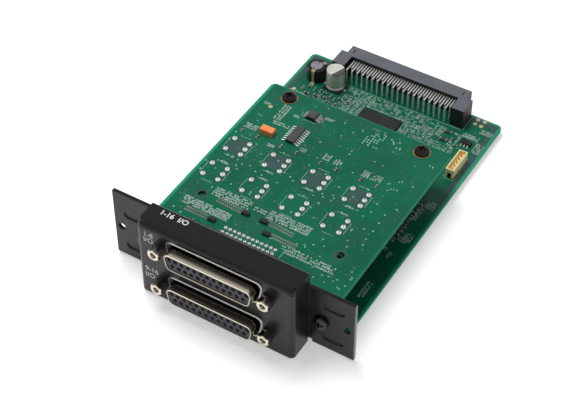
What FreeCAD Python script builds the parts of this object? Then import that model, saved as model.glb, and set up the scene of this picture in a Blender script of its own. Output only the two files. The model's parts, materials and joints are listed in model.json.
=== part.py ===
"""Digital audio interface card: folded bracket, two stacked boards, connectors and board parts.

Millimetres, +X to the right, +Y to the rear, +Z up. The origin is midway between the two ear
holes, on the back face of the ears, which is the face that seats on the rack.
"""
import FreeCAD
import Part
import math
import os

# Bracket
SHEET = 1.5
BEND_OUTER = 2.0
EAR_WIDTH = 19.0
EAR_HOLE_EDGE = 3.175
EAR_HOLE_D = 3.4
BOX_UNDER_SOCKET = 9.0
LEFT_EAR_TOP = 18.1
RIGHT_EAR_TOP = 14.55
BOX_ROOM = 7.3
BOX_REACH = 11.25
BOX_OVER_SOCKET = 8.7
FLANGE_GAP = 0.65
RELIEF = 1.4
SLOT_LENGTH = 9.8
SLOT_HEIGHT = 3.6
SLOT_DEPTH = 0.6
SLOT_SLOPE = 0.5
SLOT_STEPS = 7
SLOT_OFF_BOX = 9.7
SLOT_RISE = 7.6
SLOT_DROP = 9.2

# Boards
BOARD = 1.6
UPPER_LEFT = -40.1
UPPER_RIGHT = 43.4
UPPER_BACK = 93.6
MAIN_LEFT = -46.65
MAIN_RIGHT = 45.95
MAIN_BACK = 138.3
BOARD_CORNER = 2.2
BOARD_EAR_GAP = 0.4
TONGUE_SIDE_GAP = 1.2
HOLE_IN_LEFT = 10.8
HOLE_IN_RIGHT = 11.25
HOLE_IN_BACK = 5.05
HOLE_ROWS = 64.8
BOARD_HOLE_D = 3.3

# D-sub sockets
DSUB_PITCH = 19.05
DSUB_LOWER_Z = -6.1
DSUB_FOOT_GAP = 0.1
SHELL_MARGIN = 2.53
SHELL_REACH = 6.0
SHELL_WALL = 0.5
SHELL_ROOT = 0.7
SHELL_SLANT = 10.0
SHELL_CORNER = 2.4
SHELL_FLANGE = 0.6
FLANGE_OFF_JACK = 2.98
FLANGE_RIM = 2.3
CUTOUT_ROOM = 1.1
CONTACT_PITCH = 2.77
CONTACT_ROW = 2.84
CONTACTS_TOP = 13
CONTACT_HOLE_D = 1.3
CONTACT_HOLE_DEPTH = 3.0
INSULATOR_INSET = 0.35
INSULATOR_FIT = 0.05
INSULATOR_DEPTH = 6.2
INSULATOR_SIDE = 0.65
TAIL = 0.6
TAIL_FIRST = 1.3
TAIL_COVER = 0.6
HOLE_SIDES = 6
JACK_OFF_SHELL = 4.37
JACK_FLATS = 4.75
JACK_LENGTH = 4.7
JACK_BORE_D = 2.5
JACK_BORE_DEPTH = 3.6
JACK_STUD_D = 2.8
DSUB_ANGLE = 1.0
DSUB_ANGLE_EDGE = 0.28
DSUB_ANGLE_FOOT = 7.0

# Screws, lugs and spacers
SCREW_D = 2.9
SCREW_HEAD_D = 6.0
SCREW_HEAD = 2.0
SCREW_BITE = 5.0
SCREW_ROOM = 0.25
SHANK_SIDES = 6
HEAD_SIDES = 16
RECESS_SPAN = 3.2
RECESS_WIDTH = 0.8
RECESS_DEPTH = 1.2
LUG_OFF_BOX = 5.1
LUG_RISE = 10.85
LUG_WIDTH = 8.6
LUG = 2.0
LUG_FOOT = 9.0
SPACER_FLATS = 5.5

# Transformers and their joints
TRANSFORMER_COLUMNS = 4
TRANSFORMER_FIRST_X = -31.9
TRANSFORMER_PITCH_X = 18.12
TRANSFORMER_FRONT_Y = 36.8
TRANSFORMER_PITCH_Y = 16.4
TRANSFORMER_WIDTH = 9.6
TRANSFORMER_LENGTH = 11.4
TRANSFORMER_DROP = 7.4
TRANSFORMER_EDGE = 0.7
LEG_SIDE = 3.5
LEG_STEP = 3.4
JOINT_D = 2.2
JOINT_HEIGHT = 1.0

# Link between the boards
LINK_X = -0.8
LINK_Y = 12.2
LINK_PINS = 12
LINK_PITCH = 2.0
LINK_ROW = 2.45
LINK_END = 1.3
LINK_WIDTH = 5.2
LINK_SOCKET = 8.5
LINK_PIN = 0.55
LINK_PIN_RISE = 0.9

# Rear connector
REAR_END_WALL = 3.1
REAR_OVERHANG = 3.4
REAR_DEPTH = 6.6
REAR_HEIGHT = 9.4
REAR_BLOCK_PROUD = 2.8
REAR_LEAD_ROOM = 1.425
REAR_BLOCK_INSET = 10.1
REAR_BLOCK_DEPTH = 8.6
REAR_MOUTH_WALL = 3.4
REAR_MOUTH_HEIGHT = 5.6
REAR_MOUTH_DEPTH = 5.0
REAR_MOUTH_RISE = 1.9
REAR_TICK_INSET = 2.5
REAR_TICK_WIDTH = 0.5
REAR_TICK_LENGTH = 2.5
REAR_LEADS = 20
REAR_PITCH = 2.5
REAR_LEAD_WIDTH = 0.6
REAR_LEAD = 0.35
REAR_LEAD_RISE = 7.6
REAR_LONG_INSET = 10.1
REAR_SHORT_INSET = 8.1

# Parts on the main board
COIL_IN_LEFT = 9.35
COIL_IN_BACK = 13.5
COIL_D = 8.5
COIL_CORE_D = 5.4
COIL_SIDES = 24
COIL_WALL_GAP = 0.15
COIL_HEIGHT = 6.6
COIL_CORE_RISE = 0.3
COIL_NOTCH = 0.8
COIL_CLIP_WIDTH = 2.0
COIL_CLIP = 0.35
COIL_CLIP_FOOT = 1.3
COIL_CLIP_TURNS = (50.0, 278.0)
CAN_OFF_COIL = 10.0
CAN_IN_BACK = 14.4
CAN_D = 8.0
CAN_HEIGHT = 9.0
CAN_EDGE = 0.5
CAN_BASE = 0.7
CAN_BASE_SIDE = 8.4
CAN_BASE_CUT = 1.6
LOGIC_X = -0.5
LOGIC_IN_BACK = 20.3
LOGIC_WIDTH = 18.2
LOGIC_LENGTH = 10.2
LOGIC_HEIGHT = 1.1
LOGIC_LEADS = 14
LOGIC_PITCH = 1.27
LOGIC_LEAD_WIDTH = 0.5
LOGIC_LEAD_REACH = 0.9
WAFER_IN_RIGHT = 5.55
WAFER_IN_BACK = 39.3
WAFER_WIDTH = 3.8
WAFER_LENGTH = 13.0
WAFER_HEIGHT = 4.75
WAFER_WALL = 0.6
WAFER_FLOOR = 3.2
WAFER_POCKET_WIDTH = 1.5
WAFER_POCKET_DEPTH = 4.0
WAFER_POCKET_WALL = 0.5
WAFER_PINS = 5
WAFER_PITCH = 2.2
WAFER_PIN = 0.5
WAFER_PIN_RISE = 1.2
REGULATOR_IN_RIGHT = 8.65
REGULATOR_IN_BACK = 17.6
REGULATOR_WIDTH = 4.6
REGULATOR_LENGTH = 2.6
REGULATOR_HEIGHT = 1.5
REGULATOR_PITCH = 1.45
REGULATOR_LEAD_WIDTH = 0.55
REGULATOR_TAB_WIDTH = 1.8
REGULATOR_LEAD_REACH = 1.0
LEAD = 0.25
RESISTOR_WIDTH = 3.2
RESISTOR_LENGTH = 1.7
RESISTOR_HEIGHT = 0.7
RESISTORS_IN_RIGHT_BACK = ((18.05, 15.0), (17.85, 20.1))
CHIP_WIDTH = 2.6
CHIP_LENGTH = 1.7
CHIP_HEIGHT = 1.2
CHIPS_IN_LEFT_BACK = ((13.35, 27.0), (18.05, 27.7), (24.35, 29.1), (28.65, 29.9))

# Parts on the upper board
SO_X = -15.4
SO_Y = 70.5
SO_WIDTH = 3.7
SO_LENGTH = 9.9
SO_HEIGHT = 1.5
SO_LEADS = 8
SO_PITCH = 1.27
SO_LEAD_WIDTH = 0.45
SO_LEAD_REACH = 1.55
TANTALUM_X = -25.9
TANTALUM_Y = 66.2
TANTALUM_WIDTH = 6.0
TANTALUM_LENGTH = 3.3
TANTALUM_HEIGHT = 2.4
TANTALUM_TAB = 0.3
TANTALUM_TAB_WIDTH = 2.2
SURGE_X = -15.1
SURGE_Y = 83.5
SURGE_WIDTH = 4.0
SURGE_LENGTH = 4.3
SURGE_HEIGHT = 1.9
SURGE_TAB_REACH = 2.05
SURGE_TAB_WIDTH = 3.8
FERRITE_WIDTH = 3.2
FERRITE_LENGTH = 1.7
FERRITE_HEIGHT = 1.1
FERRITE_PLACES = ((-18.5, 14.0), (-9.2, 23.4), (-1.1, 23.3), (3.2, 18.4))
PART_EDGE = 0.2
STAND_OFF = 0.15

# Sizes and places that follow from the driving dimensions
SHELL_WIDTH = (CONTACTS_TOP - 1) * CONTACT_PITCH + 2 * SHELL_MARGIN
SHELL_HEIGHT = CONTACT_ROW + 2 * SHELL_MARGIN
JACK_PITCH = SHELL_WIDTH + 2 * JACK_OFF_SHELL
FLANGE_WIDTH = JACK_PITCH + 2 * FLANGE_OFF_JACK
FLANGE_HEIGHT = SHELL_HEIGHT + 2 * FLANGE_RIM
INSULATOR_WIDTH = SHELL_WIDTH + 2 * INSULATOR_SIDE
DSUB_ANGLE_WIDTH = 2 * (FLANGE_OFF_JACK - DSUB_ANGLE_EDGE)
DSUB_OVER_BOARD = FLANGE_HEIGHT / 2 + DSUB_FOOT_GAP
DSUB_UPPER_Z = DSUB_LOWER_Z + DSUB_PITCH
MAIN_TOP = DSUB_LOWER_Z - DSUB_OVER_BOARD
MAIN_UNDER = MAIN_TOP - BOARD
UPPER_TOP = MAIN_TOP + DSUB_PITCH
UPPER_UNDER = UPPER_TOP - BOARD
FRONT = -SHEET - BOX_REACH
PANEL_BACK = FRONT + SHEET
BOX_SIDE = FLANGE_WIDTH / 2 + BOX_ROOM
BOX_TOP = DSUB_UPPER_Z + BOX_OVER_SOCKET
BRACKET_BOTTOM = DSUB_LOWER_Z - BOX_UNDER_SOCKET
EAR_END = BOX_SIDE + EAR_WIDTH
EAR_HOLE_X = EAR_END - EAR_HOLE_EDGE
SLOT_X = BOX_SIDE + SLOT_OFF_BOX
LUG_X = BOX_SIDE + LUG_OFF_BOX
LUG_Z = MAIN_TOP + LUG_RISE
SHELL_BACK = PANEL_BACK + SHELL_FLANGE
INSULATOR_BACK = SHELL_BACK + INSULATOR_DEPTH
TONGUE_FRONT = SHELL_BACK + DSUB_ANGLE
TONGUE_SIDE = BOX_SIDE - SHEET - TONGUE_SIDE_GAP
HOLE_LEFT = UPPER_LEFT + HOLE_IN_LEFT
HOLE_RIGHT = UPPER_RIGHT - HOLE_IN_RIGHT
HOLE_BACK = UPPER_BACK - HOLE_IN_BACK
HOLE_FRONT = HOLE_BACK - HOLE_ROWS
REAR_BACK = MAIN_BACK + REAR_OVERHANG
REAR_FRONT = REAR_BACK - REAR_DEPTH
REAR_BLOCK_FRONT = MAIN_BACK - REAR_BLOCK_INSET
REAR_BLOCK_INNER = REAR_PITCH * (REAR_LEADS - 0.5) + 2 * REAR_LEAD_ROOM
REAR_LENGTH = REAR_BLOCK_INNER + 2 * REAR_END_WALL
REAR_BLOCK_SPAN = REAR_LENGTH + 2 * REAR_BLOCK_PROUD
REAR_MOUTH_WIDTH = REAR_LENGTH - 2 * REAR_MOUTH_WALL
REAR_TICK_X = REAR_LENGTH / 2 - REAR_TICK_INSET
COIL_X = MAIN_LEFT + COIL_IN_LEFT
COIL_Y = MAIN_BACK - COIL_IN_BACK
CAN_X = COIL_X + CAN_OFF_COIL
CAN_Y = MAIN_BACK - CAN_IN_BACK
LOGIC_BACK = MAIN_BACK - LOGIC_IN_BACK
WAFER_X = MAIN_RIGHT - WAFER_IN_RIGHT
WAFER_FRONT = MAIN_BACK - WAFER_IN_BACK
REGULATOR_X = MAIN_RIGHT - REGULATOR_IN_RIGHT
REGULATOR_Y = MAIN_BACK - REGULATOR_IN_BACK
UP = FreeCAD.Vector(0, 0, 1)
REARWARD = FreeCAD.Vector(0, 1, 0)


def vec(x, y, z):
    return FreeCAD.Vector(x, y, z)


def block(x0, x1, y0, y1, z0, z1):
    """Rectangular solid between two opposite corners."""
    return Part.makeBox(x1 - x0, y1 - y0, z1 - z0, vec(x0, y0, z0))


def centred(x, y, width, length, z0, z1):
    """Rectangular solid with its centre line at x, y."""
    return block(x - width / 2, x + width / 2, y - length / 2, y + length / 2, z0, z1)


def rod(diameter, start, direction, length):
    return Part.makeCylinder(diameter / 2, length, start, direction)


def prism(sides, across_corners, start, direction, length, turn=0.0):
    """Regular prism along direction, which is +Z, -Z or +Y."""
    points = []
    for i in range(sides):
        angle = math.radians(turn + 360.0 * i / sides)
        a = across_corners / 2 * math.cos(angle)
        b = across_corners / 2 * math.sin(angle)
        offset = vec(a, 0, b) if abs(direction.y) > 0.5 else vec(a, b, 0)
        points.append(start + offset)
    face = Part.Face(Part.makePolygon(points + points[:1]))
    return face.extrude(direction * length)


def shank(diameter, start, direction, length):
    """Threaded shank or the hole round one, with few flats."""
    return prism(SHANK_SIDES, diameter, start, direction, length)


def turned(seat, direction, rings, sides):
    """Faceted turned piece on seat: rings of (diameter, rise) along direction; diameter 0 is a point."""
    across = vec(1, 0, 0)
    other = vec(0, 0, 1) if abs(direction.y) > 0.5 else vec(0, 1, 0)
    levels = []
    for diameter, rise in rings:
        centre = seat + direction * rise
        angles = [2 * math.pi * i / sides for i in range(sides)]
        ring = [centre + (across * math.cos(a) + other * math.sin(a)) * (diameter / 2) for a in angles]
        levels.append(ring if diameter > 0 else [centre] * sides)
    outlines = [levels[0]] + ([levels[-1]] if rings[-1][0] > 0 else [])
    for low, high in zip(levels, levels[1:]):
        for i in range(sides):
            j = (i + 1) % sides
            pointed = high[i] == high[j]
            outlines.append([low[i], low[j], high[j]] if pointed else [low[i], low[j], high[j], high[i]])
    faces = [Part.Face(Part.makePolygon(outline + outline[:1])) for outline in outlines]
    solid = Part.Solid(Part.Shell(faces))
    return solid if solid.Volume > 0 else solid.reversed()


def rounded_wire(points, radii):
    """Closed wire through points, with corner i rounded by radii[i] (0 leaves it sharp)."""
    count = len(points)
    corners = []
    for i, corner in enumerate(points):
        before = (points[i - 1] - corner).normalize()
        after = (points[(i + 1) % count] - corner).normalize()
        half = before.getAngle(after) / 2
        run = radii[i] / math.tan(half)
        inward = (before + after).normalize() * (radii[i] / math.sin(half) - radii[i])
        corners.append((corner + before * run, corner + inward, corner + after * run))
    edges = []
    for i, (start, middle, end) in enumerate(corners):
        if radii[i] > 0:
            edges.append(Part.Arc(start, middle, end).toShape())
        following = corners[(i + 1) % count][0]
        edges.append(Part.LineSegment(end, following).toShape())
    return Part.Wire(edges)


def plate(points, radii, push):
    """Solid made by pushing a rounded outline along a vector."""
    return Part.Face(rounded_wire(points, radii)).extrude(push)


def moulded(x, y, width, length, z0, z1, edge):
    """Moulded package: a block with its four top edges cut at a slope."""
    solid = centred(x, y, width, length, z0, z1)
    top = [e for e in solid.Edges if abs(e.BoundBox.ZMin - z1) < 1e-6]
    return solid.makeChamfer(edge, top)


def strip(points, x, width):
    """Bent strip: a closed outline of (y, z) points, width wide about x."""
    corners = [vec(x - width / 2, y, z) for y, z in points]
    return Part.Face(Part.makePolygon(corners + corners[:1])).extrude(vec(width, 0, 0))


def d_wire(z, y, grow):
    """D outline of a socket about z in the plane y, larger all round by grow; wide side up."""
    slant = math.radians(SHELL_SLANT)
    high = SHELL_HEIGHT / 2 + grow
    wide = SHELL_WIDTH / 2 + grow * (math.tan(slant) + 1 / math.cos(slant))
    narrow = wide - 2 * high * math.tan(slant)
    corners = [(-narrow, -high), (narrow, -high), (wide, high), (-wide, high)]
    return rounded_wire([vec(x, y, z + rise) for x, rise in corners], [SHELL_CORNER + grow] * 4)


def d_solid(z, y0, y1, grow):
    return Part.Face(d_wire(z, y0, grow)).extrude(vec(0, y1 - y0, 0))


def screw(seat, direction, length, recess):
    """Pan-head screw: sloped head on seat, shank running the other way along -direction."""
    rings = [(SCREW_HEAD_D, 0), (SCREW_HEAD_D, SCREW_HEAD * 0.5), (SCREW_HEAD_D * 0.66, SCREW_HEAD)]
    head = turned(seat, direction, rings if recess else rings[::2], HEAD_SIDES if recess else SHANK_SIDES * 2)
    if recess:
        top = seat + direction * SCREW_HEAD
        for side in (0, 1):
            head = head.cut(recess_bar(top, direction, side))
    return head.fuse(shank(SCREW_D, seat, direction * -1, length)).removeSplitter()


def recess_bar(top, direction, side):
    """One bar of the cross recess, sunk from top against direction."""
    span = RECESS_SPAN if side else RECESS_WIDTH
    other = RECESS_WIDTH if side else RECESS_SPAN
    low = top - direction * RECESS_DEPTH
    if abs(direction.y) > 0.5:
        return block(top.x - span / 2, top.x + span / 2, min(top.y, low.y), max(top.y, low.y),
                     top.z - other / 2, top.z + other / 2)
    return block(top.x - span / 2, top.x + span / 2, top.y - other / 2, top.y + other / 2,
                 min(top.z, low.z), max(top.z, low.z))


def face_bracket():
    """Folded sheet: ears, box sides and front in one plan outline, then the bent top flange."""
    inside = BOX_SIDE - SHEET
    plan = [(-EAR_END, -SHEET, 0), (-BOX_SIDE, -SHEET, 0), (-BOX_SIDE, FRONT, BEND_OUTER),
            (BOX_SIDE, FRONT, BEND_OUTER), (BOX_SIDE, -SHEET, 0), (EAR_END, -SHEET, 0), (EAR_END, 0, 0),
            (inside, 0, BEND_OUTER), (inside, PANEL_BACK, 0), (-inside, PANEL_BACK, 0),
            (-inside, 0, BEND_OUTER), (-EAR_END, 0, 0)]
    points = [vec(x, y, BRACKET_BOTTOM) for x, y, _ in plan]
    wall_top = BOX_TOP - SHEET - FLANGE_GAP
    sheet = plate(points, [r for _, _, r in plan], UP * (wall_top - BRACKET_BOTTOM))
    sheet = sheet.fuse(top_flange(wall_top)).removeSplitter()
    sheet = sheet.cut(block(-EAR_END - 1, -inside + 1, -SHEET, 1, LEFT_EAR_TOP, BOX_TOP))
    sheet = sheet.cut(block(inside - 1, EAR_END + 1, -SHEET, 1, RIGHT_EAR_TOP, BOX_TOP))
    for side in (-1, 1):
        sheet = sheet.cut(ear_cuts(side))
    for z in (DSUB_LOWER_Z, DSUB_UPPER_Z):
        sheet = sheet.cut(panel_cuts(z))
    return sheet


def top_flange(wall_top):
    """Front plate's bend and the flange that runs back to the ears' front plane."""
    half = BOX_SIDE - BEND_OUTER
    side = [vec(-half, FRONT, wall_top), vec(-half, PANEL_BACK, wall_top),
            vec(-half, PANEL_BACK, BOX_TOP - SHEET), vec(-half, -SHEET, BOX_TOP - SHEET),
            vec(-half, -SHEET, BOX_TOP), vec(-half, FRONT, BOX_TOP)]
    bend = plate(side, [0, 0, 0, 0, 0, BEND_OUTER], vec(2 * half, 0, 0))
    wings = block(-BOX_SIDE, BOX_SIDE, FRONT + BEND_OUTER + FLANGE_GAP, -SHEET, BOX_TOP - SHEET, BOX_TOP)
    return bend.fuse(wings)


def ear_cuts(side):
    """Screw hole, lug screw hole, two coined slots and the bend relief of one ear."""
    hole = rod(EAR_HOLE_D, vec(side * EAR_HOLE_X, -SHEET - 1, 0), REARWARD, SHEET + 2)
    lug_hole = shank(SCREW_D + 2 * SCREW_ROOM, vec(side * LUG_X, -SHEET - 1, LUG_Z), REARWARD, SHEET + 2)
    edge = side * BOX_SIDE
    relief = block(edge - RELIEF, edge + RELIEF, -SHEET - RELIEF / 2, 1,
                   BRACKET_BOTTOM - 1, BRACKET_BOTTOM + RELIEF)
    cuts = [hole, lug_hole, relief]
    for z in (SLOT_RISE, -SLOT_DROP):
        floor = slot_outline(side * SLOT_X, -SHEET + SLOT_DEPTH, z, SLOT_HEIGHT / 2 - SLOT_SLOPE)
        mouth = slot_outline(side * SLOT_X, -SHEET, z, SLOT_HEIGHT / 2)
        cuts.append(Part.makeLoft([floor, mouth], True, True))
    return Part.makeCompound(cuts)


def slot_outline(x, y, z, radius):
    """Round-ended slot in the plane y: each end is a half circle in SLOT_STEPS flats."""
    reach = (SLOT_LENGTH - SLOT_HEIGHT) / 2
    points = []
    for side, start in ((1, -90), (-1, 90)):
        for i in range(SLOT_STEPS + 1):
            angle = math.radians(start + 180.0 * i / SLOT_STEPS)
            points.append(vec(x + side * reach + radius * math.cos(angle), y, z + radius * math.sin(angle)))
    return Part.makePolygon(points + points[:1])


def panel_cuts(z):
    """D opening and the two jackscrew holes of one socket in the front plate."""
    cuts = [d_solid(z, FRONT - 1, PANEL_BACK + 1, CUTOUT_ROOM)]
    for side in (-1, 1):
        start = vec(side * JACK_PITCH / 2, FRONT - 1, z)
        cuts.append(shank(JACK_STUD_D + 2 * SCREW_ROOM, start, REARWARD, SHEET + 2))
    return Part.makeCompound(cuts)


def dsub_shell(z):
    """Drawn shell: flange, flared root and D-shaped skirt, open right through."""
    a, b = FLANGE_WIDTH / 2, FLANGE_HEIGHT / 2
    y = PANEL_BACK
    shell = block(-a, a, y, SHELL_BACK, z - b, z + b)
    skirt = d_solid(z, y - SHELL_REACH, y, 0)
    shell = shell.fuse(skirt).removeSplitter()
    foot = [e for e in shell.Edges if on_skirt_foot(e.BoundBox, z, y)]
    shell = shell.makeChamfer(SHELL_ROOT, foot)
    shell = shell.cut(d_solid(z, y - SHELL_REACH - 1, SHELL_BACK + 1, -SHELL_WALL))
    for side in (-1, 1):
        start = vec(side * JACK_PITCH / 2, y - 1, z)
        shell = shell.cut(shank(JACK_STUD_D + 2 * SCREW_ROOM, start, REARWARD, SHELL_FLANGE + 2))
    return shell


def on_skirt_foot(box, z, y):
    """True for an edge's box that lies in the plane y and within the D outline of the skirt."""
    near = 0.001
    level = abs(box.YMin - y) + abs(box.YMax - y) < near
    inside = max(box.XMax, -box.XMin) < SHELL_WIDTH / 2 + near
    return level and inside and max(box.ZMax - z, z - box.ZMin) < SHELL_HEIGHT / 2 + near


def contact_places(z):
    """Contact positions of a socket: the wide row above, the row of one fewer below it."""
    for row, count in ((1, CONTACTS_TOP), (-1, CONTACTS_TOP - 1)):
        for i in range(count):
            yield row, (i - (count - 1) / 2) * CONTACT_PITCH, z + row * CONTACT_ROW / 2


def dsub_insulator(z):
    """Moulding that fills the skirt, with a hole for each contact; its body stands on the board
    and its rear part covers the tails."""
    nose = PANEL_BACK - SHELL_REACH + INSULATOR_INSET
    body = d_solid(z, nose, SHELL_BACK, -SHELL_WALL - INSULATOR_FIT)
    under = z - DSUB_OVER_BOARD
    top = z + FLANGE_HEIGHT / 2
    roof = z + TAIL_COVER
    back = INSULATOR_BACK + 2 * TAIL_FIRST + CONTACT_ROW
    outline = [(SHELL_BACK, under), (INSULATOR_BACK, under), (INSULATOR_BACK, roof), (back, roof),
               (back, top), (SHELL_BACK, top)]
    body = body.fuse(strip(outline, 0, INSULATOR_WIDTH))
    holes = []
    for _, x, height in contact_places(z):
        start = vec(x, nose - 1, height)
        holes.append(prism(HOLE_SIDES, CONTACT_HOLE_D, start, REARWARD, CONTACT_HOLE_DEPTH + 1))
    return body.removeSplitter().cut(Part.makeCompound(holes))


def dsub_contacts(z):
    """Tails that come down from the moulding's cover to the board, the wide row farther back."""
    tails = []
    under = z - DSUB_OVER_BOARD
    for row, x, _ in contact_places(z):
        y = INSULATOR_BACK + TAIL_FIRST + (CONTACT_ROW if row > 0 else 0)
        tails.append(centred(x, y, TAIL, TAIL, under, z + TAIL_COVER))
    return Part.makeCompound(tails)


def dsub_angles(z):
    """Angle at each end: upright behind the flange, tapped for the jackscrew, foot on the board."""
    under = z - DSUB_OVER_BOARD
    top = z + FLANGE_HEIGHT / 2
    back = SHELL_BACK + DSUB_ANGLE
    toe = back + DSUB_ANGLE_FOOT
    angles = []
    for side in (-1, 1):
        x = side * JACK_PITCH / 2
        outline = [(SHELL_BACK, under), (toe, under), (toe, under + DSUB_ANGLE), (back, under + DSUB_ANGLE),
                   (back, top), (SHELL_BACK, top)]
        angle = strip(outline, x, DSUB_ANGLE_WIDTH)
        angles.append(angle.cut(shank(JACK_STUD_D, vec(x, SHELL_BACK - 1, z), REARWARD, DSUB_ANGLE + 2)))
    return Part.makeCompound(angles)


def jackscrews():
    """Hexagon posts on the front plate, each bored for the cable's screw, with a stud behind."""
    posts = []
    corner = JACK_FLATS / math.cos(math.pi / 6)
    for z in (DSUB_LOWER_Z, DSUB_UPPER_Z):
        for side in (-1, 1):
            x = side * JACK_PITCH / 2
            face = FRONT - JACK_LENGTH
            post = prism(6, corner, vec(x, face, z), REARWARD, JACK_LENGTH)
            stud = shank(JACK_STUD_D, vec(x, FRONT, z), REARWARD, SHELL_BACK + DSUB_ANGLE - FRONT)
            post = post.fuse(stud)
            posts.append(post.cut(rod(JACK_BORE_D, vec(x, face - 1, z), REARWARD, JACK_BORE_DEPTH + 1)))
    return Part.makeCompound(posts)


def board(left, right, back, top):
    """Board outline: rounded back corners, shoulders behind the ears, tongue into the box."""
    shoulder = BOARD_EAR_GAP
    outline = [(-TONGUE_SIDE, TONGUE_FRONT, 0), (TONGUE_SIDE, TONGUE_FRONT, 0), (TONGUE_SIDE, shoulder, 0),
               (right, shoulder, 0), (right, back, BOARD_CORNER), (left, back, BOARD_CORNER),
               (left, shoulder, 0), (-TONGUE_SIDE, shoulder, 0)]
    points = [vec(x, y, top - BOARD) for x, y, _ in outline]
    return plate(points, [r for _, _, r in outline], UP * BOARD)


def drill(solid, places, top, tool):
    """Holes right through a board, each made by tool (rod for open holes, shank under a screw)."""
    for x, y in places:
        solid = solid.cut(tool(BOARD_HOLE_D, vec(x, y, top - BOARD - 1), UP, BOARD + 2))
    return solid


def back_holes():
    return [(x, HOLE_BACK) for x in (HOLE_LEFT, HOLE_RIGHT)]


def lug_feet():
    return [(side * LUG_X, LUG + LUG_FOOT / 2) for side in (-1, 1)]


def upper_board():
    front_holes = [(x, HOLE_FRONT) for x in (HOLE_LEFT, HOLE_RIGHT)]
    solid = board(UPPER_LEFT, UPPER_RIGHT, UPPER_BACK, UPPER_TOP)
    solid = drill(solid, front_holes, UPPER_TOP, rod)
    return drill(solid, back_holes(), UPPER_TOP, shank)


def main_board():
    solid = board(MAIN_LEFT, MAIN_RIGHT, MAIN_BACK, MAIN_TOP)
    return drill(solid, back_holes() + lug_feet(), MAIN_TOP, shank)


def lug(side):
    """Angle behind an ear: upright tapped for the ear's screw, foot tapped for the board's screw."""
    top = LUG_Z + LUG_WIDTH / 2
    outline = [(0, MAIN_TOP), (LUG + LUG_FOOT, MAIN_TOP), (LUG + LUG_FOOT, MAIN_TOP + LUG),
               (LUG, MAIN_TOP + LUG), (LUG, top), (0, top)]
    solid = strip(outline, side * LUG_X, LUG_WIDTH)
    solid = solid.cut(shank(SCREW_D, vec(side * LUG_X, -1, LUG_Z), REARWARD, LUG + 2))
    x, y = lug_feet()[0 if side < 0 else 1]
    return solid.cut(shank(SCREW_D, vec(x, y, MAIN_TOP - 1), UP, LUG + 2))


def bracket_screws():
    seats = [vec(side * LUG_X, -SHEET, LUG_Z) for side in (-1, 1)]
    return Part.makeCompound([screw(seat, REARWARD * -1, SHEET + LUG, True) for seat in seats])


def lug_foot_screws():
    seats = [vec(x, y, MAIN_UNDER) for x, y in lug_feet()]
    return Part.makeCompound([screw(seat, UP * -1, BOARD + LUG, False) for seat in seats])


def board_spacers():
    """Hexagon spacers between the boards, tapped right through."""
    posts = []
    corner = SPACER_FLATS / math.cos(math.pi / 6)
    length = UPPER_UNDER - MAIN_TOP
    for x, y in back_holes():
        post = prism(6, corner, vec(x, y, MAIN_TOP), UP, length)
        posts.append(post.cut(shank(SCREW_D, vec(x, y, MAIN_TOP - 1), UP, length + 2)))
    return Part.makeCompound(posts)


def spacer_top_screws():
    seats = [vec(x, y, UPPER_TOP) for x, y in back_holes()]
    return Part.makeCompound([screw(seat, UP, BOARD + SCREW_BITE, True) for seat in seats])


def spacer_bottom_screws():
    seats = [vec(x, y, MAIN_UNDER) for x, y in back_holes()]
    return Part.makeCompound([screw(seat, UP * -1, BOARD + SCREW_BITE, False) for seat in seats])


def transformer_places():
    for row in (0, 1):
        for column in range(TRANSFORMER_COLUMNS):
            x = TRANSFORMER_FIRST_X + column * TRANSFORMER_PITCH_X
            yield x, TRANSFORMER_FRONT_Y + row * TRANSFORMER_PITCH_Y


def pulse_transformer(x, y):
    """Potted block that hangs from the upper board, its lower edges cut at a slope."""
    low = UPPER_UNDER - TRANSFORMER_DROP
    solid = centred(x, y, TRANSFORMER_WIDTH, TRANSFORMER_LENGTH, low, UPPER_UNDER)
    bottom = [e for e in solid.Edges if abs(e.BoundBox.ZMax - low) < 1e-6]
    return solid.makeChamfer(TRANSFORMER_EDGE, bottom)


def leg_places():
    """Five legs of each transformer: two in the left column, three in the right."""
    for x, y in transformer_places():
        for step in (-1, 1):
            yield x - LEG_SIDE, y + step * LEG_STEP
        for step in (-1, 0, 1):
            yield x + LEG_SIDE, y + step * LEG_STEP


def transformer_joints():
    """Solder cone round each leg on top of the board."""
    rings = [(JOINT_D, 0), (0, JOINT_HEIGHT)]
    return Part.makeCompound([turned(vec(x, y, UPPER_TOP), UP, rings, SHANK_SIDES) for x, y in leg_places()])


def link_length():
    return (LINK_PINS - 1) * LINK_PITCH + 2 * LINK_END


def link_socket():
    """Socket strip on the main board; the header strip seats on its top."""
    return centred(LINK_X, LINK_Y, link_length(), LINK_WIDTH, MAIN_TOP, MAIN_TOP + LINK_SOCKET)


def link_header():
    return centred(LINK_X, LINK_Y, link_length(), LINK_WIDTH, MAIN_TOP + LINK_SOCKET, UPPER_UNDER)


def link_tails():
    """Square tail of each link pin above the upper board."""
    tails = []
    for row in (-0.5, 0.5):
        for i in range(LINK_PINS):
            x = LINK_X + (i - (LINK_PINS - 1) / 2) * LINK_PITCH
            y = LINK_Y + row * LINK_ROW
            tails.append(centred(x, y, LINK_PIN, LINK_PIN, UPPER_TOP, UPPER_TOP + LINK_PIN_RISE))
    return Part.makeCompound(tails)


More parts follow.
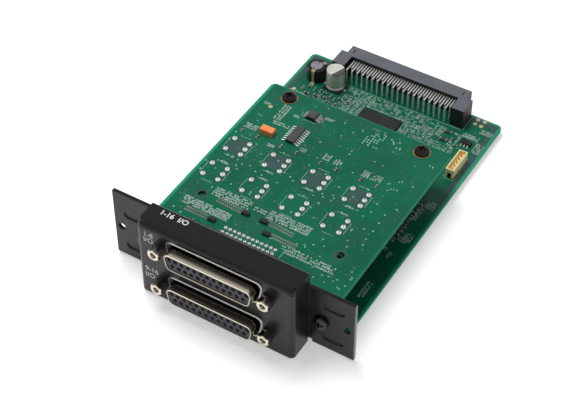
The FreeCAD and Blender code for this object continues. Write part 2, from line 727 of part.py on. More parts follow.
def rear_connector_housing():
    """Long beam over the board's back edge, end blocks on the board, mating slot open to the rear."""
    top = MAIN_TOP + REAR_HEIGHT
    body = block(-REAR_LENGTH / 2, REAR_LENGTH / 2, REAR_FRONT, REAR_BACK, MAIN_TOP, top)
    for side in (-1, 1):
        inner, outer = side * REAR_BLOCK_INNER / 2, side * REAR_BLOCK_SPAN / 2
        end = REAR_BLOCK_FRONT + REAR_BLOCK_DEPTH
        body = body.fuse(block(min(inner, outer), max(inner, outer), REAR_BLOCK_FRONT, end, MAIN_TOP, top))
    body = body.removeSplitter()
    low = MAIN_TOP + REAR_MOUTH_RISE
    half = REAR_MOUTH_WIDTH / 2
    floor = REAR_BACK - REAR_MOUTH_DEPTH
    body = body.cut(block(-half, half, floor, REAR_BACK + 1, low, low + REAR_MOUTH_HEIGHT))
    middle = (REAR_FRONT + REAR_BACK) / 2
    for side in (-1, 1):
        body = body.cut(centred(side * REAR_TICK_X, middle, REAR_TICK_WIDTH, REAR_TICK_LENGTH,
                                top - REAR_TICK_WIDTH, top + 1))
    return body


def rear_lead_places(shift):
    """X of each lead of one row; the short row sits half a pitch to the right of the long row."""
    first = -REAR_PITCH * (REAR_LEADS - 0.5) / 2
    return [first + (i + shift) * REAR_PITCH for i in range(REAR_LEADS)]


def rear_leads(shift, foot):
    """Leads that leave the housing's front and bend down to the board at foot."""
    high = MAIN_TOP + REAR_LEAD_RISE
    low = high - REAR_LEAD
    outline = [(REAR_FRONT, low), (foot + REAR_LEAD, low), (foot + REAR_LEAD, MAIN_TOP), (foot, MAIN_TOP),
               (foot, high), (REAR_FRONT, high)]
    return Part.makeCompound([strip(outline, x, REAR_LEAD_WIDTH) for x in rear_lead_places(shift)])


def inductor_ring():
    """Shield ring round the core, standing on the board."""
    start = vec(COIL_X, COIL_Y, MAIN_TOP)
    ring = rod(COIL_D, start, UP, COIL_HEIGHT)
    return ring.cut(prism(COIL_SIDES, COIL_CORE_D + 2 * COIL_WALL_GAP, start, UP, COIL_HEIGHT))


def inductor_core():
    """Core inside the ring, proud of it, with a notch at each side of its top."""
    top = COIL_HEIGHT + COIL_CORE_RISE
    core = prism(COIL_SIDES, COIL_CORE_D, vec(COIL_X, COIL_Y, MAIN_TOP), UP, top)
    for side in (-1, 1):
        notch = centred(COIL_X, COIL_Y + side * COIL_CORE_D / 2, COIL_NOTCH, 2 * COIL_NOTCH,
                        MAIN_TOP + top - COIL_NOTCH, MAIN_TOP + top + 1)
        core = core.cut(notch)
    return core


def inductor_clips():
    """Bent clip on two sides of the ring: foot on the board, upright and a hook on the ring's top."""
    radius = COIL_D / 2
    inner = COIL_CORE_D / 2 + COIL_WALL_GAP
    foot = radius + COIL_CLIP + COIL_CLIP_FOOT
    top = COIL_HEIGHT + COIL_CLIP
    outline = [(radius, 0), (foot, 0), (foot, COIL_CLIP), (radius + COIL_CLIP, COIL_CLIP),
               (radius + COIL_CLIP, top), (inner, top), (inner, COIL_HEIGHT), (radius, COIL_HEIGHT)]
    clips = []
    for turn in COIL_CLIP_TURNS:
        clip = strip(outline, 0, COIL_CLIP_WIDTH)
        clip.rotate(vec(0, 0, 0), UP, turn - 90)
        clip.translate(vec(COIL_X, COIL_Y, MAIN_TOP))
        clips.append(clip)
    return Part.makeCompound(clips)


def capacitor_base():
    """Square seat under the can, two corners cut off."""
    a, c = CAN_BASE_SIDE / 2, CAN_BASE_CUT
    outline = [(-a, -a), (a, -a), (a, a - c), (a - c, a), (c - a, a), (-a, a - c)]
    points = [vec(CAN_X + x, CAN_Y + y, MAIN_TOP) for x, y in outline]
    return Part.Face(Part.makePolygon(points + points[:1])).extrude(UP * CAN_BASE)


def capacitor_can():
    """Drawn can on its seat, with the edge of its top turned over."""
    can = rod(CAN_D, vec(CAN_X, CAN_Y, MAIN_TOP + CAN_BASE), UP, CAN_HEIGHT)
    top = MAIN_TOP + CAN_BASE + CAN_HEIGHT
    crown = [e for e in can.Edges if abs(e.BoundBox.ZMin - top) < 0.001]
    return can.makeChamfer(CAN_EDGE, crown)


def lead_outline(body_side, reach, z, rise):
    """Outline of a sloping lead: out of the body at rise, down to a flat foot on the board at z."""
    end = body_side + reach
    return [(body_side, z + rise), (end, z), (end - 2 * LEAD, z), (body_side, z + rise - LEAD)]


def lead_rows(x, y, body, reach, z, rise, places, width, turns):
    """Rows of bent leads on sides of a package; turn 0 faces +Y, and places run along the side."""
    leads = []
    for turn in turns:
        for place in places:
            lead = strip(lead_outline(body / 2, reach, z, rise), place, width)
            lead.rotate(vec(0, 0, 0), UP, turn)
            lead.translate(vec(x, y, 0))
            leads.append(lead)
    return Part.makeCompound(leads)


def spread(count, pitch):
    return [(i - (count - 1) / 2) * pitch for i in range(count)]


def receiver_chip_body():
    return moulded(SO_X, SO_Y, SO_WIDTH, SO_LENGTH, UPPER_TOP + STAND_OFF, UPPER_TOP + SO_HEIGHT, PART_EDGE)


def receiver_chip_leads():
    return lead_rows(SO_X, SO_Y, SO_WIDTH, SO_LEAD_REACH, UPPER_TOP, SO_HEIGHT / 2,
                     spread(SO_LEADS, SO_PITCH), SO_LEAD_WIDTH, (90, 270))


def logic_chip_body():
    y = LOGIC_BACK - LOGIC_LENGTH / 2
    return moulded(LOGIC_X, y, LOGIC_WIDTH, LOGIC_LENGTH, MAIN_TOP + STAND_OFF,
                   MAIN_TOP + LOGIC_HEIGHT, PART_EDGE)


def logic_chip_leads():
    y = LOGIC_BACK - LOGIC_LENGTH / 2
    return lead_rows(LOGIC_X, y, LOGIC_LENGTH, LOGIC_LEAD_REACH, MAIN_TOP, LOGIC_HEIGHT / 2,
                     spread(LOGIC_LEADS, LOGIC_PITCH), LOGIC_LEAD_WIDTH, (0, 180))


def regulator_body():
    return moulded(REGULATOR_X, REGULATOR_Y, REGULATOR_WIDTH, REGULATOR_LENGTH, MAIN_TOP,
                   MAIN_TOP + REGULATOR_HEIGHT, PART_EDGE)


def regulator_leads():
    """Three leads at the front and one wide tab at the back."""
    places = spread(3, REGULATOR_PITCH)
    front = lead_rows(REGULATOR_X, REGULATOR_Y, REGULATOR_LENGTH, REGULATOR_LEAD_REACH, MAIN_TOP,
                      REGULATOR_HEIGHT / 2, places, REGULATOR_LEAD_WIDTH, (180,))
    tab = lead_rows(REGULATOR_X, REGULATOR_Y, REGULATOR_LENGTH, REGULATOR_LEAD_REACH, MAIN_TOP,
                    REGULATOR_HEIGHT / 2, (0,), REGULATOR_TAB_WIDTH, (0,))
    return Part.makeCompound(front.Solids + tab.Solids)


def tantalum_body():
    return moulded(TANTALUM_X, TANTALUM_Y, TANTALUM_WIDTH, TANTALUM_LENGTH, UPPER_TOP,
                   UPPER_TOP + TANTALUM_HEIGHT, PART_EDGE)


def tantalum_terminals():
    tabs = []
    for side in (-1, 1):
        x = TANTALUM_X + side * (TANTALUM_WIDTH + TANTALUM_TAB) / 2
        rise = TANTALUM_HEIGHT / 2
        tabs.append(centred(x, TANTALUM_Y, TANTALUM_TAB, TANTALUM_TAB_WIDTH, UPPER_TOP, UPPER_TOP + rise))
    return Part.makeCompound(tabs)


def surge_body():
    top = UPPER_TOP + SURGE_HEIGHT
    return moulded(SURGE_X, SURGE_Y, SURGE_WIDTH, SURGE_LENGTH, UPPER_TOP, top, PART_EDGE)


def surge_terminals():
    return lead_rows(SURGE_X, SURGE_Y, SURGE_WIDTH, SURGE_TAB_REACH, UPPER_TOP, SURGE_HEIGHT / 2, (0,),
                     SURGE_TAB_WIDTH, (90, 270))


def wafer_housing():
    """Open-topped shroud; below its floor a pocket opens to the front end."""
    y = WAFER_FRONT + WAFER_LENGTH / 2
    top = MAIN_TOP + WAFER_HEIGHT
    floor = MAIN_TOP + WAFER_FLOOR
    body = centred(WAFER_X, y, WAFER_WIDTH, WAFER_LENGTH, MAIN_TOP, top)
    well = centred(WAFER_X, y, WAFER_WIDTH - 2 * WAFER_WALL, WAFER_LENGTH - 2 * WAFER_WALL, floor, top + 1)
    pocket = centred(WAFER_X, WAFER_FRONT, WAFER_POCKET_WIDTH, 2 * WAFER_POCKET_DEPTH,
                     MAIN_TOP + WAFER_POCKET_WALL, floor - WAFER_POCKET_WALL)
    return body.cut(Part.makeCompound([well, pocket]))


def wafer_pins():
    y = WAFER_FRONT + WAFER_LENGTH / 2
    floor = MAIN_TOP + WAFER_FLOOR
    return Part.makeCompound([centred(WAFER_X, y + step, WAFER_PIN, WAFER_PIN, floor, floor + WAFER_PIN_RISE)
                              for step in spread(WAFER_PINS, WAFER_PITCH)])


def chips(places, width, length, z, height):
    return Part.makeCompound([centred(x, y, width, length, z, z + height) for x, y in places])


def chip_resistors():
    places = [(MAIN_RIGHT - x, MAIN_BACK - y) for x, y in RESISTORS_IN_RIGHT_BACK]
    return chips(places, RESISTOR_WIDTH, RESISTOR_LENGTH, MAIN_TOP, RESISTOR_HEIGHT)


def chip_capacitors():
    places = [(MAIN_LEFT + x, MAIN_BACK - y) for x, y in CHIPS_IN_LEFT_BACK]
    return chips(places, CHIP_WIDTH, CHIP_LENGTH, MAIN_TOP, CHIP_HEIGHT)


def ferrite_blocks():
    return chips(FERRITE_PLACES, FERRITE_WIDTH, FERRITE_LENGTH, UPPER_TOP, FERRITE_HEIGHT)


def nodes():
    """Every node of the card by name."""
    pieces = {}
    for make in (face_bracket, bracket_screws, lug_foot_screws, jackscrews, upper_board, main_board,
                 board_spacers, spacer_top_screws, spacer_bottom_screws, transformer_joints, link_socket,
                 link_header, link_tails, rear_connector_housing, inductor_ring,
                 inductor_core, inductor_clips, capacitor_base, capacitor_can, receiver_chip_body,
                 receiver_chip_leads, logic_chip_body, logic_chip_leads, regulator_body, regulator_leads,
                 tantalum_body, tantalum_terminals, surge_body, surge_terminals, wafer_housing, wafer_pins,
                 chip_resistors, chip_capacitors, ferrite_blocks):
        pieces[make.__name__] = make()
    pieces["lug_left"] = lug(-1)
    pieces["lug_right"] = lug(1)
    pieces["rear_leads_long"] = rear_leads(0, MAIN_BACK - REAR_LONG_INSET)
    pieces["rear_leads_short"] = rear_leads(0.5, MAIN_BACK - REAR_SHORT_INSET)
    for level, z in (("lower", DSUB_LOWER_Z), ("upper", DSUB_UPPER_Z)):
        for make in (dsub_shell, dsub_insulator, dsub_contacts, dsub_angles):
            pieces[level + "_" + make.__name__] = make(z)
    for number, (x, y) in enumerate(transformer_places(), 1):
        pieces["pulse_transformer_%d" % number] = pulse_transformer(x, y)
    return pieces


def main():
    os.makedirs("parts", exist_ok=True)
    for name, shape in nodes().items():
        shape.exportStep("parts/" + name + ".step")


main()
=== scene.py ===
"""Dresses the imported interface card: finishes for its CAD nodes, fine pieces worked out with numpy,
the stage and the camera. Lengths in this file are millimetres in the part's own frame (+X right,
+Y to the rear connector, +Z up) and turn into metres where a mesh is made.
"""
import json
import math

import bmesh
import bpy
import numpy as np
from bpy.props import FloatProperty, FloatVectorProperty, IntProperty, PointerProperty
from mathutils import Matrix, Vector


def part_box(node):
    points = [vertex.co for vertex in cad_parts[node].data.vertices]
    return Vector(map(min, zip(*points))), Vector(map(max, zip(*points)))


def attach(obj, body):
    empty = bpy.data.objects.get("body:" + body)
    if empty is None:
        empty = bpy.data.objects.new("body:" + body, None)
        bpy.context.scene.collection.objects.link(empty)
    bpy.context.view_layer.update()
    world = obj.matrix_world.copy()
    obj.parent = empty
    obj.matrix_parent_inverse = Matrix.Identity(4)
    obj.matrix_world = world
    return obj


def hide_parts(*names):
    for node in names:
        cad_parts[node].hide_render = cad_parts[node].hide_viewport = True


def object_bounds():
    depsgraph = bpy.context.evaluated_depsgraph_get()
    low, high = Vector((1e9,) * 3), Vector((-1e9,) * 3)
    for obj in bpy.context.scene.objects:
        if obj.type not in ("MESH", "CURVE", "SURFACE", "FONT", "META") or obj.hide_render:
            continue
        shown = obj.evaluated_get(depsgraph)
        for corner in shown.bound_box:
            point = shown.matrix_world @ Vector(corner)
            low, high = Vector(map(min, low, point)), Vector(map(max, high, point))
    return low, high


bl_info = {
    "name": "Interface card dressing",
    "version": (1, 0, 0),
    "blender": (4, 5, 0),
    "location": "View3D > Sidebar > Card",
    "description": "Finishes, fine pieces and stage for a plug-in interface card",
    "category": "Object",
}

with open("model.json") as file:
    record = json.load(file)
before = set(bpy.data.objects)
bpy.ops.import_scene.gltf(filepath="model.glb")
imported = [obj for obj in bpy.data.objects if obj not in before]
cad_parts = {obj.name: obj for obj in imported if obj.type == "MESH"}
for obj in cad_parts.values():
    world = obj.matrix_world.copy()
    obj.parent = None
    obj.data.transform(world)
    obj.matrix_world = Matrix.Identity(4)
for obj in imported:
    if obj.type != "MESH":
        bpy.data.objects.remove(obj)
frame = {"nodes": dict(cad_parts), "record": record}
CAD_BOX = [list(corner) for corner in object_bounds()]
MM = 0.001


def box_mm(node):
    """Lowest and highest corner of a CAD node in millimetres."""
    low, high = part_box(node)
    return np.array(low) / MM, np.array(high) / MM


UPPER_LOW, UPPER_HIGH = box_mm("upper_board")
MAIN_LOW, MAIN_HIGH = box_mm("main_board")
UPPER_TOP, UPPER_UNDER = UPPER_HIGH[2], UPPER_LOW[2]
MAIN_TOP, MAIN_UNDER = MAIN_HIGH[2], MAIN_LOW[2]
BRACKET_LOW, BRACKET_HIGH = box_mm("face_bracket")
PLATE_FRONT = BRACKET_LOW[1]
SOCKET_Z = {"upper": 12.95, "lower": -6.1}
SHELL_WIDTH, SHELL_HEIGHT, SHELL_CORNER, SHELL_SLANT = 38.3, 7.9, 2.4, 10.0
CONTACT_PITCH, CONTACT_ROW = 2.77, 2.84
JACK_X, JACK_FLATS, JACK_LENGTH, JACK_BORE_DEPTH = 23.52, 4.75, 4.7, 3.6
TRANSFORMER_X = -31.9 + 18.12 * np.arange(4)
TRANSFORMER_Y = np.array([36.8, 53.2])
LEG_X, LEG_Y = np.array([-3.5, -3.5, 3.5, 3.5, 3.5]), np.array([-3.4, 3.4, -3.4, 0.0, 3.4])
LINK_X = -11.8 + 2.0 * np.arange(12)
LINK_Y = np.array([10.975, 13.425])
BACK_HOLES = np.array([[-29.3, 88.55], [32.15, 88.55]])
FRONT_HOLES = np.array([[-29.3, 23.75], [32.15, 23.75]])
LUG_X, LUG_Z, LUG_FOOT_Y = 38.9, -1.6, 6.5
REAR_PITCH = 2.5
REAR_X = -24.375 + REAR_PITCH * np.arange(20)
REAR_LONG_Y, REAR_SHORT_Y = 128.375, 130.375
CAN_PLACE = np.array([-27.3, 123.9])
WAFER_LOW, WAFER_HIGH = box_mm("wafer_housing")
FLANGE_BACK, FLANGE_TOP, BEND = -1.5, BRACKET_HIGH[2], 2.0
BOX_SIDE, SHEET = 33.8, 1.5
COIL_PLACE = np.array([-37.3, 124.8])
CAN_BASE, CAN_RADIUS, CAN_HEIGHT, CAN_EDGE = 0.7, 4.0, 9.0, 0.5
COVER_DEPTH, COVER_RISE, TAIL_GAP = 6.2, 0.6, 1.3
SHANK_RADIUS, SLIT_PITCH = 1.45, 1.0
SHANKS = ((3.5, 0.2), (6.396, 0.156))  # length of a shank, and how far it runs into its head
SUNK = 0.02  # how deep a flat piece reaches into what carries it
CUT_LEVEL = 20.0  # above it, the flange's back edge is cut metal
SHADED_END = (-19.5, -17.5)  # where a cut-out's rim goes from painted shade to bright
BAND_START = (82.0, 88.0)  # where the main board's greyish band fades in
LEGS = np.stack(np.broadcast_arrays(TRANSFORMER_X[:, None, None] + LEG_X,
                                    TRANSFORMER_Y[None, :, None] + LEG_Y), -1).reshape(-1, 2)
LINK_TAILS = np.stack(np.meshgrid(LINK_X, LINK_Y), -1).reshape(-1, 2)


def tone(red, green, blue):
    """Scene-linear colour of a screen colour given as 0 to 255."""
    c = np.array([red, green, blue]) / 255.0
    return tuple(float(x) for x in np.where(c <= 0.04045, c / 12.92, ((c + 0.055) / 1.055) ** 2.4))


def colour(name, description, red, green, blue):
    return FloatVectorProperty(name=name, description=description, default=tone(red, green, blue),
                               subtype="COLOR", size=3, min=0.0, max=1.0)


def length(name, description, millimetres):
    return FloatProperty(name=name, description=description, default=millimetres * MM,
                         unit="LENGTH", subtype="DISTANCE", min=0.0, precision=5)


class CardColours(bpy.types.PropertyGroup):
    """Colours of the card's finishes."""

    paint: colour("Bracket paint", "Satin black on the folded bracket", 24, 24, 27)
    cut: colour("Cut edge", "Bare steel where the bracket was cut", 150, 152, 152)
    screw: colour("Screw black", "Blackened steel of the screws", 66, 62, 61)
    zinc: colour("Zinc plate", "Plated lugs, angles and spacers", 190, 188, 182)
    nickel: colour("Nickel plate", "Socket shells and jackscrews", 226, 216, 196)
    # Cut-out rims: pale plate, brightened in part as a painted highlight.
    rim: colour("Cut-out rims", "Worn plate round the socket cut-outs", 255, 252, 246)
    insulator: colour("Socket insulator", "Moulded faces of the sockets", 58, 58, 64)
    tin: colour("Tin", "Tinned leads and contacts", 238, 238, 234)
    mask: colour("Solder mask", "Green over copper", 8, 98, 72)
    mask_bare: colour("Mask on bare board", "Green where no copper lies under it", 52, 84, 80)
    mask_rim: colour("Mask at the rim", "Bright green along the boards' rims", 34, 150, 112)
    mask_band: colour("Mask band", "Greyish band inside the main board's rim", 62, 86, 88)
    edge: colour("Board edge", "Cut edge of the boards", 50, 168, 128)
    # Solder is near white in part as a painted highlight.
    solder: colour("Solder", "Bright solder joints", 253, 254, 253)
    moulding: colour("Black moulding", "Chip and part bodies", 40, 43, 45)
    chip_grey: colour("Chip grey", "Small chips and the lead-framed chip's top", 72, 76, 74)
    # The connector's grey tops are painted light and its near-black sides painted shade.
    connector: colour("Connector grey", "Matt upper faces of the rear connector", 100, 104, 110)
    connector_shade: colour("Connector sides", "Upright faces of the rear connector", 24, 25, 28)
    ferrite: colour("Ferrite", "Ground core of the coil", 140, 138, 146)
    clip: colour("Coil clip", "Tinned clips of the coil", 200, 178, 136)
    can: colour("Can", "Drawn aluminium can", 214, 214, 206)
    can_mark: colour("Can mark", "Dark segment on top of the can", 74, 74, 76)
    tantalum: colour("Tantalum", "Orange capacitor", 248, 146, 84)
    wafer: colour("Wafer header", "Cream header moulding", 236, 226, 172)
    # The well's tan is painted light and shade inside the header.
    wafer_well: colour("Wafer well", "Tan inside of the header's well", 255, 222, 152)
    silk: colour("Print", "White print on the boards", 214, 228, 220)
    mark: colour("Channel marks", "White print on the bracket", 244, 245, 246)
    copper: colour("Copper", "Bare pads round the screws", 220, 160, 108)
    test_pad: colour("Test pads", "Pale plated test pads", 226, 204, 168)
    pad: colour("Array pads", "Tinned pads of the empty array rows", 190, 170, 168)
    via: colour("Vias", "Rings of the open vias", 164, 210, 192)
    via_dim: colour("Masked vias", "Rings of the vias under the mask", 96, 120, 104)
    trace: colour("Traces", "Gaps beside the traces", 12, 88, 68)


class CardSizes(bpy.types.PropertyGroup):
    """Sizes of the pieces that are made here."""

    joint_diameter: length("Joint diameter", "Foot of a leg's solder dome", 2.2)
    joint_height: length("Joint height", "Height of a leg's solder dome", 0.8)
    tail_joint: length("Tail joint", "Foot of the solder on a link tail", 1.5)
    print_weight: FloatProperty(name="Print weight", description="Printed lines made bolder or finer",
                                default=1.0, min=0.1)
    print_rise: length("Print rise", "Thickness of the print", 0.03)
    trace_width: length("Trace width", "Width of a trace under the mask", 0.42)
    trace_count: IntProperty(name="Traces", description="Traces on each board", default=70, min=0)
    via_diameter: length("Via diameter", "Outside of a via's ring", 0.8)
    via_count: IntProperty(name="Vias", description="Vias strewn over the upper board", default=460, min=0)
    mark_height: length("Mark size", "Type size of the channel marks", 3.3)
    head_diameter: length("Screw head", "Diameter of a pan head", 6.2)
    head_height: length("Screw head height", "Height of a pan head", 2.0)
    ring_diameter: length("Ring pad", "Outside of the ring pads round the back screws", 7.2)


class CardStage(bpy.types.PropertyGroup):
    """Floor, light and camera."""

    floor: colour("Floor", "Plain pale floor", 236, 236, 236)
    sky: FloatProperty(name="Sky", description="Even light from overhead, less from the sides", default=0.4,
                       min=0.0)
    overhead: FloatProperty(name="Overhead", description="How bright the room above is in reflections",
                            default=0.4, min=0.0)
    key: FloatProperty(name="Key lamp", description="Large soft lamp over the card", default=3.2,
                       unit="POWER", min=0.0)
    azimuth: FloatProperty(name="Azimuth", description="Camera turned round the card",
                           default=math.radians(31.05), subtype="ANGLE")
    elevation: FloatProperty(name="Elevation", description="Camera above the horizon",
                             default=math.radians(45.62), subtype="ANGLE")
    roll: FloatProperty(name="Roll", description="Camera turned about its own axis",
                        default=0.0044, subtype="ANGLE")
    distance: length("Distance", "Camera from the card's origin, along the view", 568.3518)
    lens: FloatProperty(name="Lens", description="Focal length on a 36 mm sensor", default=94.683,
                        unit="CAMERA", min=1.0)


# Surfaces: an array of points and a list of face arrays

def grid_quads(rows, columns, wrap):
    """Quads between neighbouring points of a rows by columns grid; wrap joins last column to first."""
    i, j = np.meshgrid(np.arange(rows - 1), np.arange(columns - (0 if wrap else 1)), indexing="ij")
    a, b = i * columns + j, i * columns + (j + 1) % columns
    return np.stack([a, b, b + columns, a + columns], -1).reshape(-1, 4)


def turned(profile, sides, turn=0.0):
    """Turned piece about Z: radius times (cos, sin) of the angle, at each height of the profile.
    Both ends close on a middle point."""
    profile = np.asarray(profile, float)
    angle = turn + np.arange(sides) * 2 * np.pi / sides
    ring = np.stack([np.cos(angle), np.sin(angle)], -1)
    points = np.empty((len(profile), sides, 3))
    points[..., :2] = profile[:, None, :1] * ring
    points[..., 2] = profile[:, 1:]
    return capped(points)


def capped(points):
    """Closed rings of points (rows, columns, 3), joined to each other and closed at both ends by a
    fan on the middle of the end ring."""
    rows, columns, _ = points.shape
    count = rows * columns
    middles = points[[0, -1]].mean(axis=1)
    j = np.arange(columns)
    k = (j + 1) % columns
    low = np.stack([np.full(columns, count), k, j], -1)
    high = np.stack([np.full(columns, count + 1), count - columns + j, count - columns + k], -1)
    verts = np.vstack([points.reshape(-1, 3), middles])
    return verts, [grid_quads(rows, columns, True), low, high]


def hoop(profile, sides):
    """Closed ring about Z: the closed profile of (radius, height) carried round the circle."""
    profile = np.asarray(profile, float)
    angle = np.arange(sides) * 2 * np.pi / sides
    points = np.empty((sides, len(profile), 3))
    points[..., 0] = np.cos(angle)[:, None] * profile[:, 0]
    points[..., 1] = np.sin(angle)[:, None] * profile[:, 0]
    points[..., 2] = profile[:, 1]
    return looped(points)


def looped(points):
    """Closed tube of points (round, section, 3): both ways the last joins the first."""
    sides, count, _ = points.shape
    i, j = np.meshgrid(np.arange(sides), np.arange(count), indexing="ij")
    n, m = (i + 1) % sides, (j + 1) % count
    quads = np.stack([i * count + j, n * count + j, n * count + m, i * count + m], -1).reshape(-1, 4)
    return points.reshape(-1, 3), [quads]


def carried(section, path, side):
    """Section of (across, up) points carried along a path: each point is the path's point plus
    across times the side direction plus up times the normal, which is side crossed with the path."""
    path, section, side = np.asarray(path, float), np.asarray(section, float), np.asarray(side, float)
    along = np.gradient(path, axis=0)
    along /= np.linalg.norm(along, axis=1, keepdims=True)
    normal = np.cross(np.broadcast_to(side, along.shape), along)
    normal /= np.linalg.norm(normal, axis=1, keepdims=True)
    points = path[:, None] + section[None, :, :1] * side + section[None, :, 1:] * normal[:, None]
    return capped(points)


def bars(x, y, lengths, widths, angles, low, high, taper=0.85):
    """Flat bars on a level surface: each corner is the middle plus half a length along the bar's
    angle and half a width across it; the top is a little smaller than the foot."""
    x, y, lengths, widths, angles = np.broadcast_arrays(*(np.asarray(v, float) for v in
                                                          (x, y, lengths, widths, angles)))
    along = np.array([-1, 1, 1, -1, -1, 1, 1, -1]) / 2.0
    across = np.array([-1, -1, 1, 1, -1, -1, 1, 1]) / 2.0
    shrink = np.array([1, 1, 1, 1, taper, taper, taper, taper])
    u = lengths.reshape(-1, 1) * along - widths.reshape(-1, 1) * (1 - shrink) * along
    v = widths.reshape(-1, 1) * across * shrink
    c, s = np.cos(angles).reshape(-1, 1), np.sin(angles).reshape(-1, 1)
    verts = np.empty((x.size, 8, 3))
    verts[..., 0] = x.reshape(-1, 1) + u * c - v * s
    verts[..., 1] = y.reshape(-1, 1) + u * s + v * c
    verts[:, :4, 2] = np.reshape(low, (-1, 1))
    verts[:, 4:, 2] = np.reshape(high, (-1, 1))
    quads = np.array([[3, 2, 1, 0], [4, 5, 6, 7], [0, 1, 5, 4], [1, 2, 6, 5], [2, 3, 7, 6], [3, 0, 4, 7]])
    return verts.reshape(-1, 3), [(quads[None] + 8 * np.arange(x.size)[:, None, None]).reshape(-1, 4)]


def copies(surface, places):
    """The same surface at every place: all points plus each place in one sum."""
    verts, faces = surface
    places = np.asarray(places, float)
    step = np.arange(len(places))[:, None, None] * len(verts)
    every = (verts[None] + places[:, None]).reshape(-1, 3)
    return every, [(f[None] + step).reshape(-1, f.shape[1]) for f in faces]


def together(*surfaces):
    """Several surfaces as one, each with its faces counted on from the last."""
    starts = np.cumsum([0] + [len(v) for v, _ in surfaces])
    faces = [f + start for (_, group), start in zip(surfaces, starts) for f in group]
    return np.vstack([v for v, _ in surfaces]), faces


def on_level(points, z):
    """Flat points (x, y) as places at one height."""
    return np.column_stack([points, np.full(len(points), z)])


def aimed(surface, matrix, origin=(0.0, 0.0, 0.0)):
    """Surface turned by a 3 by 3 matrix and moved to origin."""
    verts, faces = surface
    return verts @ np.asarray(matrix, float).T + np.asarray(origin, float), faces


DOWN = np.diag([1.0, -1.0, -1.0])
FORWARD = np.array([[1.0, 0, 0], [0, 0, -1.0], [0, 1.0, 0]])
FINISH = {}  # finishes by name, filled by the first operator


def settle(name, mesh, slot, stands_for=(), finish=None):
    """Makes a piece of a mesh in its slot's finish, or another, and lets it ride on the card."""
    mesh.materials.clear()
    mesh.materials.append(FINISH[finish or slot])
    piece = bpy.data.objects.new(name, mesh)
    bpy.context.scene.collection.objects.link(piece)
    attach(piece, "root")
    if stands_for:
        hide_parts(*stands_for)


def put(name, surface, slot, stands_for=(), smooth=None, finish=None):
    """Makes a mesh piece of a surface, with its faces turned outward."""
    verts, faces = surface
    mesh = bpy.data.meshes.new(name)
    mesh.from_pydata((verts * MM).tolist(), [], [f for group in faces for f in group.tolist()])
    work = bmesh.new()
    work.from_mesh(mesh)
    bmesh.ops.recalc_face_normals(work, faces=work.faces)
    work.to_mesh(mesh)
    work.free()
    if smooth is not None:
        mesh.shade_smooth()
        mesh.set_sharp_from_angle(angle=math.radians(smooth))
    settle(name, mesh, slot, stands_for, finish)


# Materials

class Nodes:
    """A node tree while it is made: nodes are added by kind and joined by socket name."""

    def __init__(self, tree):
        self.tree = tree

    def add(self, kind, sockets=None, **settings):
        made = self.tree.nodes.new(kind)
        for key, value in settings.items():
            setattr(made, key, value)
        for key, value in (sockets or {}).items():
            self.join(made.inputs[key], value)
        return made

    def join(self, socket, value):
        """Links another node's output to a socket, or sets the socket's own value."""
        if isinstance(value, bpy.types.NodeSocket):
            self.tree.links.new(value, socket)
        elif socket.type == "RGBA" and len(value) == 3:
            socket.default_value = (*value, 1.0)
        else:
            socket.default_value = value

    def maths(self, operation, *values):
        made = self.add("ShaderNodeMath", operation=operation)
        for socket, value in zip(made.inputs, values):
            self.join(socket, value)
        return made.outputs["Value"]

    def ranged(self, value, low, high, to_low, to_high):
        """Runs from to_low to to_high as value goes from low to high, and stays level beyond."""
        made = self.add("ShaderNodeMapRange", {"Value": value, "From Min": low, "From Max": high,
                                               "To Min": to_low, "To Max": to_high})
        return made.outputs["Result"]

    def parts(self, vector):
        made = self.add("ShaderNodeSeparateXYZ", {"Vector": vector})
        return made.outputs["X"], made.outputs["Y"], made.outputs["Z"]


